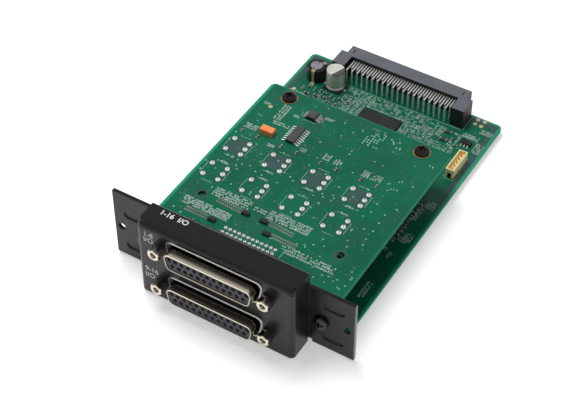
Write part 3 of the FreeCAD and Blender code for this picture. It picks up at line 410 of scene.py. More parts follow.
class Finish(Nodes):
    """A procedural material while it is made."""

    def __init__(self, name):
        self.material = bpy.data.materials.new(name)
        self.material.use_nodes = True
        super().__init__(self.material.node_tree)
        self.shader = self.tree.nodes["Principled BSDF"]
        self.place = self.add("ShaderNodeTexCoord").outputs["Object"]

    def set(self, **sockets):
        """Values and links on the shader's own sockets; an underscore stands for a space."""
        for key, value in sockets.items():
            self.join(self.shader.inputs[key.replace("_", " ")], value)
        return self

    def noise(self, scale, detail=3.0, stretch=None):
        place = self.place
        if stretch is not None:
            place = self.add("ShaderNodeMapping", {"Vector": place, "Scale": stretch}).outputs["Vector"]
        made = self.add("ShaderNodeTexNoise", {"Vector": place, "Scale": scale, "Detail": detail})
        return made.outputs["Fac"]

    def between(self, factor, low, high):
        """Runs from low to high as factor goes from 0.35 to 0.65."""
        return self.ranged(factor, 0.35, 0.65, low, high)

    def cloud(self, scale, detail=3.0):
        """Soft noise spread over 0 to 1."""
        return self.between(self.noise(scale, detail), 0.0, 1.0)

    def mix(self, factor, first, second):
        made = self.add("ShaderNodeMix", data_type="RGBA")
        for key, value in ((0, factor), (6, first), (7, second)):
            self.join(made.inputs[key], value)
        return made.outputs[2]

    def clouded(self, scale, first, second, detail=3.0):
        """Two colours mixed by a cloud."""
        return self.mix(self.cloud(scale, detail), first, second)

    def bump(self, height, strength, distance, normal=None):
        sockets = {"Height": height, "Strength": strength, "Distance": distance * MM}
        if normal is not None:
            sockets["Normal"] = normal
        return self.set(Normal=self.add("ShaderNodeBump", sockets).outputs["Normal"])

    def step(self, value, low, high):
        """0 up to low millimetres, 1 from high on, a straight run between."""
        return self.ranged(value, float(low) * MM, float(high) * MM, 0.0, 1.0)

    def within(self, value, low, high):
        """Depth inside a range, the smaller of the ways to its two ends."""
        return self.maths("MINIMUM", self.maths("SUBTRACT", value, float(low) * MM),
                          self.maths("SUBTRACT", float(high) * MM, value))

    def upward(self):
        """How far the surface looks up, from -1 to 1."""
        return self.parts(self.add("ShaderNodeNewGeometry").outputs["Normal"])[2]

    def backward(self):
        """How far the flat face looks to the rear, from -1 at the front to 1."""
        return self.parts(self.add("ShaderNodeNewGeometry").outputs["True Normal"])[1]

    def off_sockets(self, z, rise):
        """How far a height is from the nearer of the two levels at rise over the sockets' middles."""
        gaps = (self.maths("ABSOLUTE", self.maths("SUBTRACT", z, (middle + rise) * MM))
                for middle in SOCKET_Z.values())
        return self.maths("MINIMUM", *gaps)

    def rounded(self, radius):
        """Normal of the surface with its edges rounded off."""
        return self.add("ShaderNodeBevel", {"Radius": radius * MM}, samples=4).outputs["Normal"]


def shade(rgb, factor):
    """A colour made darker or lighter by a factor, kept within 0 to 1."""
    return tuple(min(1.0, float(c) * factor) for c in rgb)


def painted(name, colours):
    """Powder paint: broad cloudy tone, fine orange-peel bump, soft folded edges, and bare steel along
    the flange's cut back edge and the ears' ends."""
    f = Finish(name)
    x, y, z = f.parts(f.place)
    broad = f.clouded(70.0, shade(colours.paint, 0.93), shade(colours.paint, 1.07))
    back = f.maths("MULTIPLY", f.step(y, FLANGE_BACK - 0.3, FLANGE_BACK - 0.15),
                   f.step(z, CUT_LEVEL, CUT_LEVEL + 0.2))
    ends = f.step(f.maths("ABSOLUTE", x), BRACKET_HIGH[0] - 0.25, BRACKET_HIGH[0] - 0.1)
    bright_part = f.maths("MULTIPLY", f.maths("MAXIMUM", back, ends), f.between(f.noise(500.0), 0.35, 0.75))
    f.set(Base_Color=f.mix(bright_part, broad, colours.cut),
          Roughness=f.between(f.noise(350.0), 0.29, 0.34), Specular_IOR_Level=0.36)
    return f.bump(f.noise(1900.0, 2.0), 0.2, 0.03, f.rounded(0.35)).material


def moulded(name, rgb, roughness, grain=2400.0, spread=0.2, specular=0.4):
    """Moulded plastic: fine matt spark marks, a faint uneven tone and rounded edges."""
    f = Finish(name)
    f.set(Base_Color=f.clouded(220.0, shade(rgb, 1 - spread), shade(rgb, 1 + spread), 4.0),
          Roughness=f.between(f.noise(600.0), roughness - 0.08, roughness + 0.08),
          Specular_IOR_Level=specular)
    return f.bump(f.noise(grain, 3.0), 0.15, 0.02, f.rounded(0.12)).material


def lit_top_moulding(name, rgb, side, roughness):
    """Dark moulding with painted light: upward faces lit to matt grey, upright ones nearly black as painted
    shade.
    """
    f = Finish(name)
    grey = f.clouded(120.0, shade(rgb, 0.92), shade(rgb, 1.08), 4.0)
    # Painted light by facing: grey where the surface looks up, the shade colour where it stands upright.
    f.set(Base_Color=f.mix(f.ranged(f.upward(), 0.3, 0.8, 0.0, 1.0), side, grey),
          Roughness=f.between(f.noise(600.0), roughness - 0.06, roughness + 0.06), Specular_IOR_Level=0.4)
    return f.bump(f.noise(2400.0, 3.0), 0.12, 0.02, f.rounded(0.15)).material


def plated(name, rgb, roughness, stain, metallic=1.0, edge=0.12):
    """Plated metal: bright, a little stained, uneven in gloss, with softened edges."""
    f = Finish(name)
    f.set(Base_Color=f.clouded(90.0, shade(rgb, 1 - stain), rgb), Metallic=metallic,
          Roughness=f.between(f.noise(120.0, 2.0), roughness - 0.02, roughness + 0.03))
    return f.set(Normal=f.rounded(edge)).material if edge else f.material


def drawn_shell(name, colours):
    """Nickel on the drawn socket shells: a painted highlight in a band behind the mouth, painted shade
    in brown from there to the root, faintly streaked along the draw, and painted shade on the front
    face of the cut rim except its upper run, which stays bright as a painted highlight."""
    f = Finish(name)
    _, y, z = f.parts(f.place)
    rim = float(box_mm("upper_dsub_shell")[0][1])
    # Painted highlight on the upper run of each rim, painted shade on the rim's other front faces.
    bright_part = f.step(f.off_sockets(z, SHELL_HEIGHT / 2), 1.4, 0.5)
    cut = f.maths("MULTIPLY", f.maths("LESS_THAN", f.backward(), -0.8), f.maths("SUBTRACT", 1.0, bright_part))
    # Painted highlight in a band behind the mouth, then painted shade darkening towards the root.
    plate = f.clouded(60.0, shade(colours.nickel, 1.2), shade(colours.nickel, 1.3), 2.0)
    for start, end, painted_shade in ((0.8, 1.6, 0.45), (1.6, 3.9, 0.1)):
        plate = f.mix(f.step(y, rim + start, rim + end), plate, shade(colours.nickel, painted_shade))
    f.set(Base_Color=f.mix(cut, plate, shade(colours.nickel, 0.55)), Metallic=1.0,
          Roughness=f.between(f.noise(120.0, 2.0, (1.0, 0.2, 1.0)), 0.2, 0.24))
    return f.material


def rim_plate(name, colours):
    """Plate round the socket cut-outs: pale along the top and the right, partly a painted highlight,
    and darkened at the left end as painted shade.
    """
    f = Finish(name)
    # Painted shade at the left end of each rim.
    bright_part = f.step(f.parts(f.place)[0], *SHADED_END)
    f.set(Base_Color=f.mix(bright_part, shade(colours.nickel, 0.25), colours.rim), Metallic=0.1,
          Roughness=f.between(f.noise(120.0), 0.26, 0.34))
    return f.material


def hexagon_plate(name, colours):
    """Nickel on the jackscrews: bright on the turned face, darkened on the flats as a painted dark
    reflection, and grey in the bore, which lies within 1.7 mm of the screw's axis."""
    f = Finish(name)
    x, _, z = f.parts(f.place)
    aside = f.maths("ABSOLUTE", f.maths("SUBTRACT", f.maths("ABSOLUTE", x), JACK_X * MM))
    bore = f.step(f.maths("MAXIMUM", f.off_sockets(z, 0.0), aside), 1.8, 1.6)
    # Painted reflection: the flats are darkened by which way they face.
    flats = f.clouded(90.0, shade(colours.zinc, 0.38), shade(colours.zinc, 0.6))
    side = f.mix(bore, flats, colours.zinc)
    f.set(Base_Color=f.mix(f.maths("LESS_THAN", f.backward(), -0.5), side, colours.nickel), Metallic=1.0,
          Roughness=f.between(f.noise(120.0), 0.2, 0.25))
    return f.material


def soldered(name, colours):
    """Solder: near-white domes, partly a painted highlight, with painted shade where the lead's cut end
    stands out of them.
    """
    f = Finish(name)
    z = f.parts(f.place)[2]
    # Painted shade on the lead's cut end.
    tip = f.step(z, UPPER_TOP + 0.7, UPPER_TOP + 0.77)
    grain = f.cloud(900.0)
    base = f.mix(grain, shade(colours.solder, 0.93), colours.solder)
    f.set(Base_Color=f.mix(tip, base, shade(colours.solder, 0.2)), Metallic=0.2,
          Roughness=f.between(grain, 0.2, 0.32))
    return f.bump(f.noise(700.0), 0.1, 0.02).material


def masked(name, colours, low, high, band, cut):
    """Green mask over copper: cloudy, with faint right-angled pours of another tone, a bright rim, a
    greyish band inside it, and the pale cut edge where the surface turns upright."""
    f = Finish(name)
    x, y, _ = f.parts(f.place)
    cells = f.add("ShaderNodeTexVoronoi", {"Vector": f.place, "Scale": 95.0}, distance="MANHATTAN")
    shares = f.parts(cells.outputs["Color"])
    base = f.clouded(38.0, shade(colours.mask, 0.88), shade(colours.mask, 1.14))
    for share, least, weight, pour in ((shares[0], 0.8, 0.16, colours.mask_bare),
                                       (shares[1], 0.7, 0.2, shade(colours.mask, 1.5))):
        base = f.mix(f.maths("MULTIPLY", f.maths("GREATER_THAN", share, least), weight), base, pour)
    left = f.maths("SUBTRACT", x, float(low[0]) * MM)
    rim = f.maths("MINIMUM", f.within(x, low[0], high[0]), f.within(y, low[1], high[1]))
    if band > 0:
        lit = f.maths("MULTIPLY", f.step(rim, band + 0.3, band), f.step(y, *BAND_START))
        base = f.mix(lit, base, colours.mask_band)
    edge = 1.2 if band > 0 else 0.3
    bright = f.maths("MAXIMUM", f.step(left, 1.5, 1.0), f.step(rim, edge, edge - 0.2))
    base = f.mix(bright, base, colours.mask_rim)
    upright = f.maths("LESS_THAN", f.maths("ABSOLUTE", f.upward()), 0.5)
    gloss = f.between(f.noise(200.0), 0.2, 0.26)
    f.set(Base_Color=f.mix(upright, base, cut),
          Roughness=f.maths("MAXIMUM", gloss, f.maths("MULTIPLY", upright, 0.75)), Specular_IOR_Level=0.28)
    return f.bump(f.noise(600.0), 0.06, 0.02).material


def wafer_moulded(name, colours):
    """Cream moulding, with painted light and shade in tan inside its well, a row of dark contact slits
    along the right wall, and painted shade, nearly black, in the pocket below."""
    f = Finish(name)
    x, y, z = f.parts(f.place)
    low, high = WAFER_LOW, WAFER_HIGH
    wall = 0.55
    deep = f.maths("MINIMUM", f.within(x, low[0] + wall, high[0] - wall),
                   f.within(y, low[1] + wall, high[1] - wall))
    well = f.maths("MULTIPLY", f.step(deep, 0.0, 0.05), f.step(z, high[2] - 0.1, high[2] - 0.3))
    share = f.maths("FRACT", f.maths("MULTIPLY", y, 1.0 / (SLIT_PITCH * MM)))
    slit = f.maths("MULTIPLY", f.maths("LESS_THAN", share, 0.55), f.step(x, high[0] - 1.15, high[0] - 1.05))
    under = f.maths("MULTIPLY", f.step(f.within(x, low[0] + 1.0, high[0] - 1.0), 0.0, 0.05),
                    f.step(z, MAIN_TOP + 2.9, MAIN_TOP + 2.8))
    base = f.clouded(220.0, shade(colours.wafer, 0.92), colours.wafer)
    # Painted light and shade: the well's inside is tinted tan.
    base = f.mix(well, base, colours.wafer_well)
    base = f.mix(f.maths("MULTIPLY", slit, well), base, shade(colours.wafer_well, 0.25))
    # Painted shade: the pocket below is nearly black.
    base = f.mix(under, base, shade(colours.wafer_well, 0.04))
    f.set(Base_Color=base, Roughness=f.between(f.noise(600.0), 0.38, 0.5))
    return f.bump(f.noise(2400.0), 0.12, 0.02, f.rounded(0.12)).material


def marked_can(name, colours):
    """Drawn aluminium with streaks round the wall, a matt top, and a dark printed segment on it."""
    f = Finish(name)
    x, y, z = f.parts(f.place)
    top = MAIN_TOP + CAN_BASE + CAN_HEIGHT
    level = f.step(z, top - 0.5, top - 0.4)
    run = f.maths("ADD", f.maths("MULTIPLY", f.maths("SUBTRACT", x, float(CAN_PLACE[0] * MM)), 0.93),
                  f.maths("MULTIPLY", f.maths("SUBTRACT", y, float(CAN_PLACE[1] * MM)), -0.36))
    dark = f.maths("MULTIPLY", level, f.maths("GREATER_THAN", run, 1.45 * MM))
    lines = f.noise(900.0, 2.0, (0.2, 0.2, 3.0))
    base = f.clouded(300.0, shade(colours.can, 0.85), colours.can)
    f.set(Base_Color=f.mix(dark, base, colours.can_mark),
          Metallic=f.maths("SUBTRACT", 0.6, f.maths("MULTIPLY", level, 0.6)),
          Roughness=f.between(lines, 0.36, 0.5))
    return f.bump(lines, 0.05, 0.02).material


def printed(name, rgb):
    """Screen print: matt white, a little thin in places."""
    f = Finish(name)
    f.set(Base_Color=f.clouded(1500.0, shade(rgb, 0.75), rgb), Roughness=0.6)
    return f.bump(f.noise(4000.0), 0.2, 0.01).material


def slot_materials(colours):
    """One finish for each material slot of the record."""
    return {
        "bracket_black": painted("bracket_paint", colours),
        "screw_black": plated("screw_blacking", colours.screw, 0.2, 0.3, metallic=0.9),
        "zinc_steel": plated("zinc_plate", colours.zinc, 0.36, 0.25),
        "shell_nickel": plated("nickel_plate", colours.nickel, 0.22, 0.05, edge=0.0),
        "insulator_grey": moulded("insulator_moulding", colours.insulator, 0.48),
        "contact_tin": plated("tin_leads", colours.tin, 0.28, 0.15, metallic=0.6),
        "board_green": masked("upper_board_mask", colours, UPPER_LOW, UPPER_HIGH, 0.0,
                              shade(colours.edge, 0.5)),
        "solder": soldered("solder_joint", colours),
        "moulding_black": moulded("part_moulding", colours.moulding, 0.5),
        "connector_grey": lit_top_moulding("connector_moulding", colours.connector, colours.connector_shade, 0.5),
        "ferrite": moulded("ferrite_core", colours.ferrite, 0.55, 1800.0),
        "clip_tin": plated("clip_tin", colours.clip, 0.32, 0.3, metallic=0.5),
        "can_aluminium": marked_can("can_aluminium", colours),
        "tantalum_orange": moulded("tantalum_moulding", colours.tantalum, 0.4, spread=0.1),
        "wafer_cream": wafer_moulded("wafer_moulding", colours),
        "print_white": printed("board_print", colours.silk),
        "pad_copper": plated("pad_copper", colours.copper, 0.34, 0.2, metallic=0.7),
    }


def extra_materials(colours):
    """Finishes of pieces that differ within one slot."""
    return {
        "main_mask": masked("main_board_mask", colours, MAIN_LOW, MAIN_HIGH, 3.2, colours.edge),
        # Chips: grey tops as painted light, near-black sides as painted shade.
        "chip_grey": lit_top_moulding("chip_moulding", colours.chip_grey, shade(colours.moulding, 0.5), 0.5),
        "coil_black": moulded("coil_ring", shade(colours.moulding, 0.45), 0.4),
        "dark_pin": plated("dark_pin", shade(colours.wafer_well, 0.7), 0.4, 0.3, metallic=0.2),
        "via_ring": moulded("via_mask", colours.via, 0.35, spread=0.3, specular=0.5),
        "hole_rim": moulded("hole_rim", shade(colours.mask_bare, 1.1), 0.4),
        "trace_gap": moulded("trace_gap", colours.trace, 0.3, spread=0.15, specular=0.45),
        "via_dim": moulded("via_dim", colours.via_dim, 0.35, spread=0.3, specular=0.5),
        "dark_ring": moulded("joint_dark_ring", shade(colours.trace, 0.6), 0.3, specular=0.45),
        # Terminals darkened as painted shade.
        "shaded_tin": plated("shaded_tin", shade(colours.tin, 0.38), 0.45, 0.3, metallic=0.3),
        "chip_tin": plated("chip_tin", shade(colours.tin, 0.68), 0.4, 0.3, metallic=0.3),
        "drawn_shell": drawn_shell("drawn_shell", colours),
        "rim_plate": rim_plate("rim_plate", colours),
        "hexagon_plate": hexagon_plate("hexagon_plate", colours),
        "test_pad": plated("test_pad_tin", colours.test_pad, 0.4, 0.2, metallic=0.3),
        "mark_white": printed("mark_print", colours.mark),
        "array_pad": plated("array_pad_tin", colours.pad, 0.42, 0.35, metallic=0.4),
        "bare_mask": moulded("bare_board_mask", colours.mask_bare, 0.34, spread=0.08, specular=0.45),
    }


NODE_FINISH = {"main_board": "main_mask", "receiver_chip_body": "chip_grey", "chip_capacitors": "chip_grey",
               "chip_resistors": "chip_grey", "surge_body": "chip_grey", "inductor_ring": "coil_black",
               "wafer_pins": "dark_pin", "surge_terminals": "shaded_tin", "tantalum_terminals": "shaded_tin",
               "upper_dsub_shell": "drawn_shell", "lower_dsub_shell": "drawn_shell"}


class CardOperator(bpy.types.Operator):
    """Base of the card's operators."""

    bl_options = {"REGISTER", "UNDO"}


class CARD_OT_finishes(CardOperator):
    """Makes the finishes and gives every CAD node the one of its material slot"""

    bl_idname = "card.finishes"
    bl_label = "Finish CAD nodes"

    def execute(self, context):
        FINISH.update(slot_materials(context.scene.card_colours))
        FINISH.update(extra_materials(context.scene.card_colours))
        for row in frame["record"]["subparts"]:
            mesh = frame["nodes"][row["node"]].data
            mesh.materials.clear()
            mesh.materials.append(FINISH[NODE_FINISH.get(row["node"], row["material_slot"])])
        return {"FINISHED"}


def d_outline(grow, steps=8, radius=None):
    """D outline about the origin in (x, z), wide side up: at each of the four corners an arc of the
    corner radius, its middle found from the two sides that meet there, points in order round it."""
    slant = math.radians(SHELL_SLANT)
    high = SHELL_HEIGHT / 2 + grow
    wide = SHELL_WIDTH / 2 + grow * (math.tan(slant) + 1 / math.cos(slant))
    narrow = wide - 2 * high * math.tan(slant)
    corners = np.array([[-narrow, -high], [narrow, -high], [wide, high], [-wide, high]])
    radius = radius or SHELL_CORNER + grow
    before = np.roll(corners, 1, axis=0) - corners
    after = np.roll(corners, -1, axis=0) - corners
    before /= np.linalg.norm(before, axis=1, keepdims=True)
    after /= np.linalg.norm(after, axis=1, keepdims=True)
    half = np.arccos((before * after).sum(1)) / 2
    bisector = (before + after) / np.linalg.norm(before + after, axis=1, keepdims=True)
    middles = corners + bisector * (radius / np.sin(half))[:, None]
    facing = np.arctan2(-bisector[:, 1], -bisector[:, 0])
    sweep = (np.pi - 2 * half) / 2
    angle = facing[:, None] + np.linspace(-1, 1, steps) * sweep[:, None]
    points = middles[:, None] + radius * np.stack([np.cos(angle), np.sin(angle)], -1)
    return points.reshape(-1, 2)


def side_reach(outline, z):
    """Half width of a D outline at heights z, by straight runs between the points of its right side."""
    right = outline[outline[:, 0] > 0]
    right = right[np.argsort(right[:, 1])]
    return np.interp(z, right[:, 1], right[:, 0])


def contact_rows():
    """X, Z and row of each of a socket's contacts: 13 above, 12 below."""
    upper = (np.arange(13) - 6) * CONTACT_PITCH
    lower = (np.arange(12) - 5.5) * CONTACT_PITCH
    x = np.concatenate([upper, lower])
    row = np.concatenate([np.ones(13), -np.ones(12)])
    return x, row * CONTACT_ROW / 2, row


def socket_nose(nose, back):
    """Insulator's nose: the D face is split into one cell per contact. Each cell runs from its
    outline, straight between neighbours and along the D at the row's ends, in to the round lead-in,
    down the tapered mouth and the hole's wall to its floor; a wall follows the D back."""
    steps = 6
    outline = d_outline(-0.55)
    high = outline[:, 1].max()
    x, z, row = contact_rows()
    t = np.arange(steps) / steps
    half = CONTACT_PITCH / 2
    first = np.array([x[row == r].min() for r in row])
    left_end, right_end = np.isclose(x, first), np.isclose(x, -first)
    zs = np.where(row[:, None] > 0, high * np.sin(t * np.pi / 2), -high * np.cos(t * np.pi / 2))
    zs_down = np.where(row[:, None] > 0, high * np.cos(t * np.pi / 2), -high * np.sin(t * np.pi / 2))
    low_z = np.where(row > 0, 0.0, -high)
    high_z = np.where(row > 0, high, 0.0)

    def edge(sign, heights, ended):
        reach = side_reach(outline, heights)
        return np.where(ended[:, None], sign * reach, x[:, None] + sign * half)

    right = np.stack([edge(1, zs, right_end), zs], -1)
    left = np.stack([edge(-1, zs_down, left_end), zs_down], -1)
    corner_low_left = edge(-1, low_z[:, None], left_end)[:, 0]
    corner_low_right = edge(1, low_z[:, None], right_end)[:, 0]
    corner_high_right = edge(1, high_z[:, None], right_end)[:, 0]
    corner_high_left = edge(-1, high_z[:, None], left_end)[:, 0]

    def run(start, end, level):
        across = start[:, None] + (end - start)[:, None] * t
        return np.stack([across, np.broadcast_to(level[:, None], across.shape)], -1)

    border = np.concatenate([run(corner_low_left, corner_low_right, low_z), right,
                             run(corner_high_right, corner_high_left, high_z), left], axis=1)
    angle = -0.75 * np.pi + np.arange(4 * steps) * 2 * np.pi / (4 * steps)
    circle = np.stack([np.cos(angle), np.sin(angle)], -1)
    middles = np.stack([x, z], -1)
    rings = [(0.98, 0.0), (0.72, 0.45), (0.72, 2.9)]
    cell = np.empty((len(x), 1 + len(rings), 4 * steps, 3))
    cell[:, 0, :, ::2] = border
    cell[:, 0, :, 1] = nose
    for i, (radius, depth) in enumerate(rings):
        cell[:, i + 1, :, ::2] = middles[:, None] + radius * circle
        cell[:, i + 1, :, 1] = nose + depth
    per = cell.shape[1] * cell.shape[2]
    quads = grid_quads(cell.shape[1], cell.shape[2], True)
    quads = (quads[None] + per * np.arange(len(x))[:, None, None]).reshape(-1, 4)
    floors = np.stack([x, np.full(len(x), nose + rings[-1][1]), z], -1)
    j = np.arange(4 * steps)
    base = per * np.arange(len(x))[:, None] + per - 4 * steps
    fan = np.stack([base + j, base + (j + 1) % (4 * steps),
                    np.broadcast_to(per * len(x) + np.arange(len(x))[:, None], (len(x), 4 * steps))], -1)
    face = np.vstack([cell.reshape(-1, 3), floors]), [quads, fan.reshape(-1, 3)]
    wall = np.empty((2, len(outline), 3))
    wall[..., ::2] = outline
    wall[0, :, 1], wall[1, :, 1] = nose, back
    return face, (wall.reshape(-1, 3), [grid_quads(2, len(outline), True)])


class CARD_OT_sockets(CardOperator):
    """Socket insulators with a round lead-in and hole for each contact, and the contact springs"""

    bl_idname = "card.sockets"
    bl_label = "Socket faces"

    def execute(self, context):
        for name, z in SOCKET_Z.items():
            node = f"{name}_dsub_insulator"
            low, high = box_mm(node)
            shell_back = box_mm(f"{name}_dsub_shell")[1][1]
            nose = copies(together(*socket_nose(low[1], shell_back)), [(0, 0, z)])
            cover, roof = shell_back + COVER_DEPTH, z + COVER_RISE
            section = np.array([[shell_back, low[2]], [cover, low[2]], [cover, roof], [high[1], roof],
                                [high[1], high[2]], [shell_back, high[2]]])
            block = np.empty((2, len(section), 3))
            block[..., 1:] = section
            block[0, :, 0], block[1, :, 0] = low[0], high[0]
            ends = np.array([np.arange(len(section)), len(section) + np.arange(len(section))])
            body = block.reshape(-1, 3), [grid_quads(2, len(section), True), ends]
            put(f"{name}_socket_face", together(nose, body), "insulator_grey", (node,))
            x, rise, _ = contact_rows()
            spring = hoop([(0.7, 0.0), (0.5, 0.0), (0.45, 0.35), (0.5, 1.4), (0.7, 1.4)], 12)
            places = np.stack([x, np.full(len(x), low[1] + 1.2), z + rise], -1)
            put(f"{name}_contact_springs", copies(aimed(spring, FORWARD.T), places), "contact_tin", smooth=40)
        return {"FINISHED"}


def ball_corner(side):
    """Closed eighth of a ball where the front, top and side bends meet: the bend's radius times the
    sines and cosines of two quarter turns about the bends' common middle; its side face runs on back."""
    a, b = np.meshgrid(np.linspace(0, np.pi / 2, 7), np.linspace(0, np.pi / 2, 7), indexing="ij")
    shell = np.stack([np.cos(a) * np.sin(b), -np.cos(a) * np.cos(b), np.sin(a)], -1) * BEND
    back = np.stack([np.cos(a[:, 0]), np.full(7, 0.4), np.sin(a[:, 0])], -1) * BEND
    points = np.concatenate([shell, back[:, None]], axis=1)
    core = np.broadcast_to([0.0, 0.2, 0.0], points.shape)
    both = np.concatenate([points, core[:, ::-1]], axis=1)
    middle = np.array([BOX_SIDE - BEND, PLATE_FRONT + BEND, FLANGE_TOP - BEND])
    verts, faces = capped(both)
    return (verts * 0.998 + middle) * [side, 1, 1], faces


class CARD_OT_corner_seams(CardOperator):
    """Closed corners of the bracket's box: rounded corner ends, and under the flange's wings a bead
    whose section is carried straight back"""

    bl_idname = "card.corner_seams"
    bl_label = "Box corner seams"

    def execute(self, context):
        low, high = FLANGE_TOP - SHEET - 0.75, FLANGE_TOP - SHEET + 0.1
        outer = BOX_SIDE - 0.02
        section = np.array([[outer - 1.2, low], [outer - 0.1, low], [outer, low + 0.15], [outer, high - 0.15],
                            [outer - 0.1, high], [outer - 1.2, high]])
        run = np.linspace(PLATE_FRONT + BEND, FLANGE_BACK, 3)
        points = np.empty((len(run), len(section), 3))
        points[..., ::2] = section
        points[..., 1] = run[:, None]
        beads = [aimed(capped(points), np.diag([side, 1, 1])) for side in (-1, 1)]
        put("box_corner_seams", together(ball_corner(-1), ball_corner(1), *beads), "bracket_black", smooth=40)
        return {"FINISHED"}


class CARD_OT_cutout_rims(CardOperator):
    """Bright rims round the two socket cut-outs: a low closed strip carried along the D outline"""

    bl_idname = "card.cutout_rims"
    bl_label = "Cut-out rims"

    def execute(self, context):
        inner, outer = d_outline(1.15, radius=2.2), d_outline(1.95, radius=2.7)
        section = ((inner, 0.05), (inner, -0.12), (inner * 0.75 + outer * 0.25, -0.22),
                   (inner * 0.5 + outer * 0.5, -0.2), (outer, 0.05))
        for name, z in SOCKET_Z.items():
            points = np.empty((len(inner), len(section), 3))
            for i, (outline, depth) in enumerate(section):
                points[:, i, ::2] = outline + [0, z]
                points[:, i, 1] = PLATE_FRONT + depth
            put(f"{name}_cutout_rim", looped(points), "shell_nickel", smooth=40, finish="rim_plate")
        return {"FINISHED"}


def jack_post():
    """Jackscrew on its seat at height 0: radius at an angle is the hexagon's, flats over the cosine
    within a sixth of a turn, cut by a cone at the outer edge; the face then turns in over a
    countersink to a bore whose radius swings as a screw thread: depth over pitch, less the turn."""
    sides = 48
    countersink, bore_radius, pitch, thread_depth = 1.55, 1.25, 0.64, 0.22
    angle = np.arange(sides) * 2 * np.pi / sides
    sixth = np.pi / 3
    hexagon = JACK_FLATS / 2 / np.cos((angle + sixth / 2) % sixth - sixth / 2)
    across = hexagon.max()
    rise = np.array([0.0, JACK_LENGTH - 0.75, JACK_LENGTH - 0.4, JACK_LENGTH - 0.12, JACK_LENGTH])
    cone = np.array([across + 1, across + 0.15, across - 0.18, across - 0.45, across - 0.72])
    outside = np.minimum(hexagon[None], cone[:, None])
    depth = np.concatenate([[0.0, 0.35], np.linspace(0.45, JACK_BORE_DEPTH, 36)])
    bore = np.full((len(depth), sides), bore_radius)
    bore[0] = countersink
    thread = (depth[2:, None] / pitch - angle[None] / (2 * np.pi)) % 1.0
    bore[2:] = bore_radius - 0.05 + thread_depth * np.abs(thread - 0.5)
    radius = np.vstack([outside, bore])
    height = np.concatenate([rise, JACK_LENGTH - depth])
    points = np.empty((len(radius), sides, 3))
    points[..., 0] = radius * np.cos(angle)
    points[..., 1] = radius * np.sin(angle)
    points[..., 2] = height[:, None]
    return capped(points)


class CARD_OT_jackscrews(CardOperator):
    """Hexagon jackscrews with a turned edge and a threaded bore"""

    bl_idname = "card.jackscrews"
    bl_label = "Jackscrews"

    def execute(self, context):
        post = aimed(jack_post(), FORWARD, (0, PLATE_FRONT, 0))
        stud_back = box_mm("jackscrews")[1][1]
        stud = turned([(1.4, -0.1), (1.4, stud_back - PLATE_FRONT)], 16)
        stud = aimed(stud, FORWARD.T, (0, PLATE_FRONT, 0))
        places = [(side * JACK_X, 0, z) for z in SOCKET_Z.values() for side in (-1, 1)]
        put("hex_jackscrews", copies(together(post, stud), places), "shell_nickel", ("jackscrews",),
            smooth=30, finish="hexagon_plate")
        return {"FINISHED"}


def pan_head(diameter, height):
    """Pan head on its seat at height 0. The top is a square grid pressed into a disc (each way times
    the root of one minus half the other way squared); its height is a flat-topped crown, less the
    recess where the point lies in one of two crossing bars whose floor slopes up to the ends."""
    knots = np.array([0.0, 0.115, 0.135, 0.2, 0.3, 0.4, 0.5, 0.52, 0.62, 0.72, 0.8, 0.88, 0.94, 1.0])
    line = np.concatenate([-knots[:0:-1], knots])
    u, v = np.meshgrid(line, line, indexing="ij")
    x, y = u * np.sqrt(1 - v ** 2 / 2), v * np.sqrt(1 - u ** 2 / 2)
    radius = np.hypot(x, y)
    crown = 0.5 + 0.5 * np.clip(1 - np.clip(radius, 0, 1) ** 3.4, 0, 1) ** 0.62

    def inside(along, across):
        wide = np.clip((0.135 - np.abs(across)) / 0.02, 0, 1)
        long = np.clip((0.52 - np.abs(along)) / 0.02, 0, 1)
        return wide * long * (1 - 0.35 * np.abs(along) / 0.52)

    recess = np.maximum(inside(u, v), inside(v, u))
    top = np.stack([x * diameter / 2, y * diameter / 2, height * (crown - 0.6 * recess)], -1)
    count = len(line)
    grid = np.arange(count * count).reshape(count, count)
    border = np.concatenate([grid[0, :-1], grid[:-1, -1], grid[-1, :0:-1], grid[:0:-1, 0]])
    foot = top.reshape(-1, 3)[border] * [1, 1, 0]
    n, m = count * count, len(border)
    k = np.arange(m)
    side = np.stack([border, n + k, n + (k + 1) % m, border[(k + 1) % m]], -1)
    under = np.stack([n + k, n + (k + 1) % m, np.full(m, n + m)], -1)
    return np.vstack([top.reshape(-1, 3), foot, [[0, 0, 0]]]), [grid_quads(count, count, False), side, under]


class CARD_OT_screws(CardOperator):
    """Pan-head screws with a crowned head and a cross recess"""

    bl_idname = "card.screws"
    bl_label = "Screws"

    def execute(self, context):
        sizes = context.scene.card_sizes
        head = pan_head(sizes.head_diameter / MM, sizes.head_height / MM)
        short, long = (turned([(SHANK_RADIUS, -reach), (SHANK_RADIUS, lap)], 16) for reach, lap in SHANKS)
        low_head = aimed(head, np.diag([1, 1, 0.98]))
        feet = [(side * LUG_X, LUG_FOOT_Y, MAIN_UNDER) for side in (-1, 1)]
        ears = [(side * LUG_X, BRACKET_HIGH[1] - SHEET, LUG_Z) for side in (-1, 1)]
        groups = [
            ("ear_lug_screws", "bracket_screws", aimed(together(head, short), FORWARD), ears),
            ("board_top_screws", "spacer_top_screws", together(head, long), on_level(BACK_HOLES, UPPER_TOP)),
            ("board_under_screws", "spacer_bottom_screws", aimed(together(low_head, long), DOWN),
             on_level(BACK_HOLES, MAIN_UNDER)),
            ("lug_under_screws", "lug_foot_screws", aimed(together(low_head, short), DOWN), feet),
        ]
        for name, node, surface, places in groups:
            put(name, copies(surface, places), "screw_black", (node,), smooth=35)
        return {"FINISHED"}


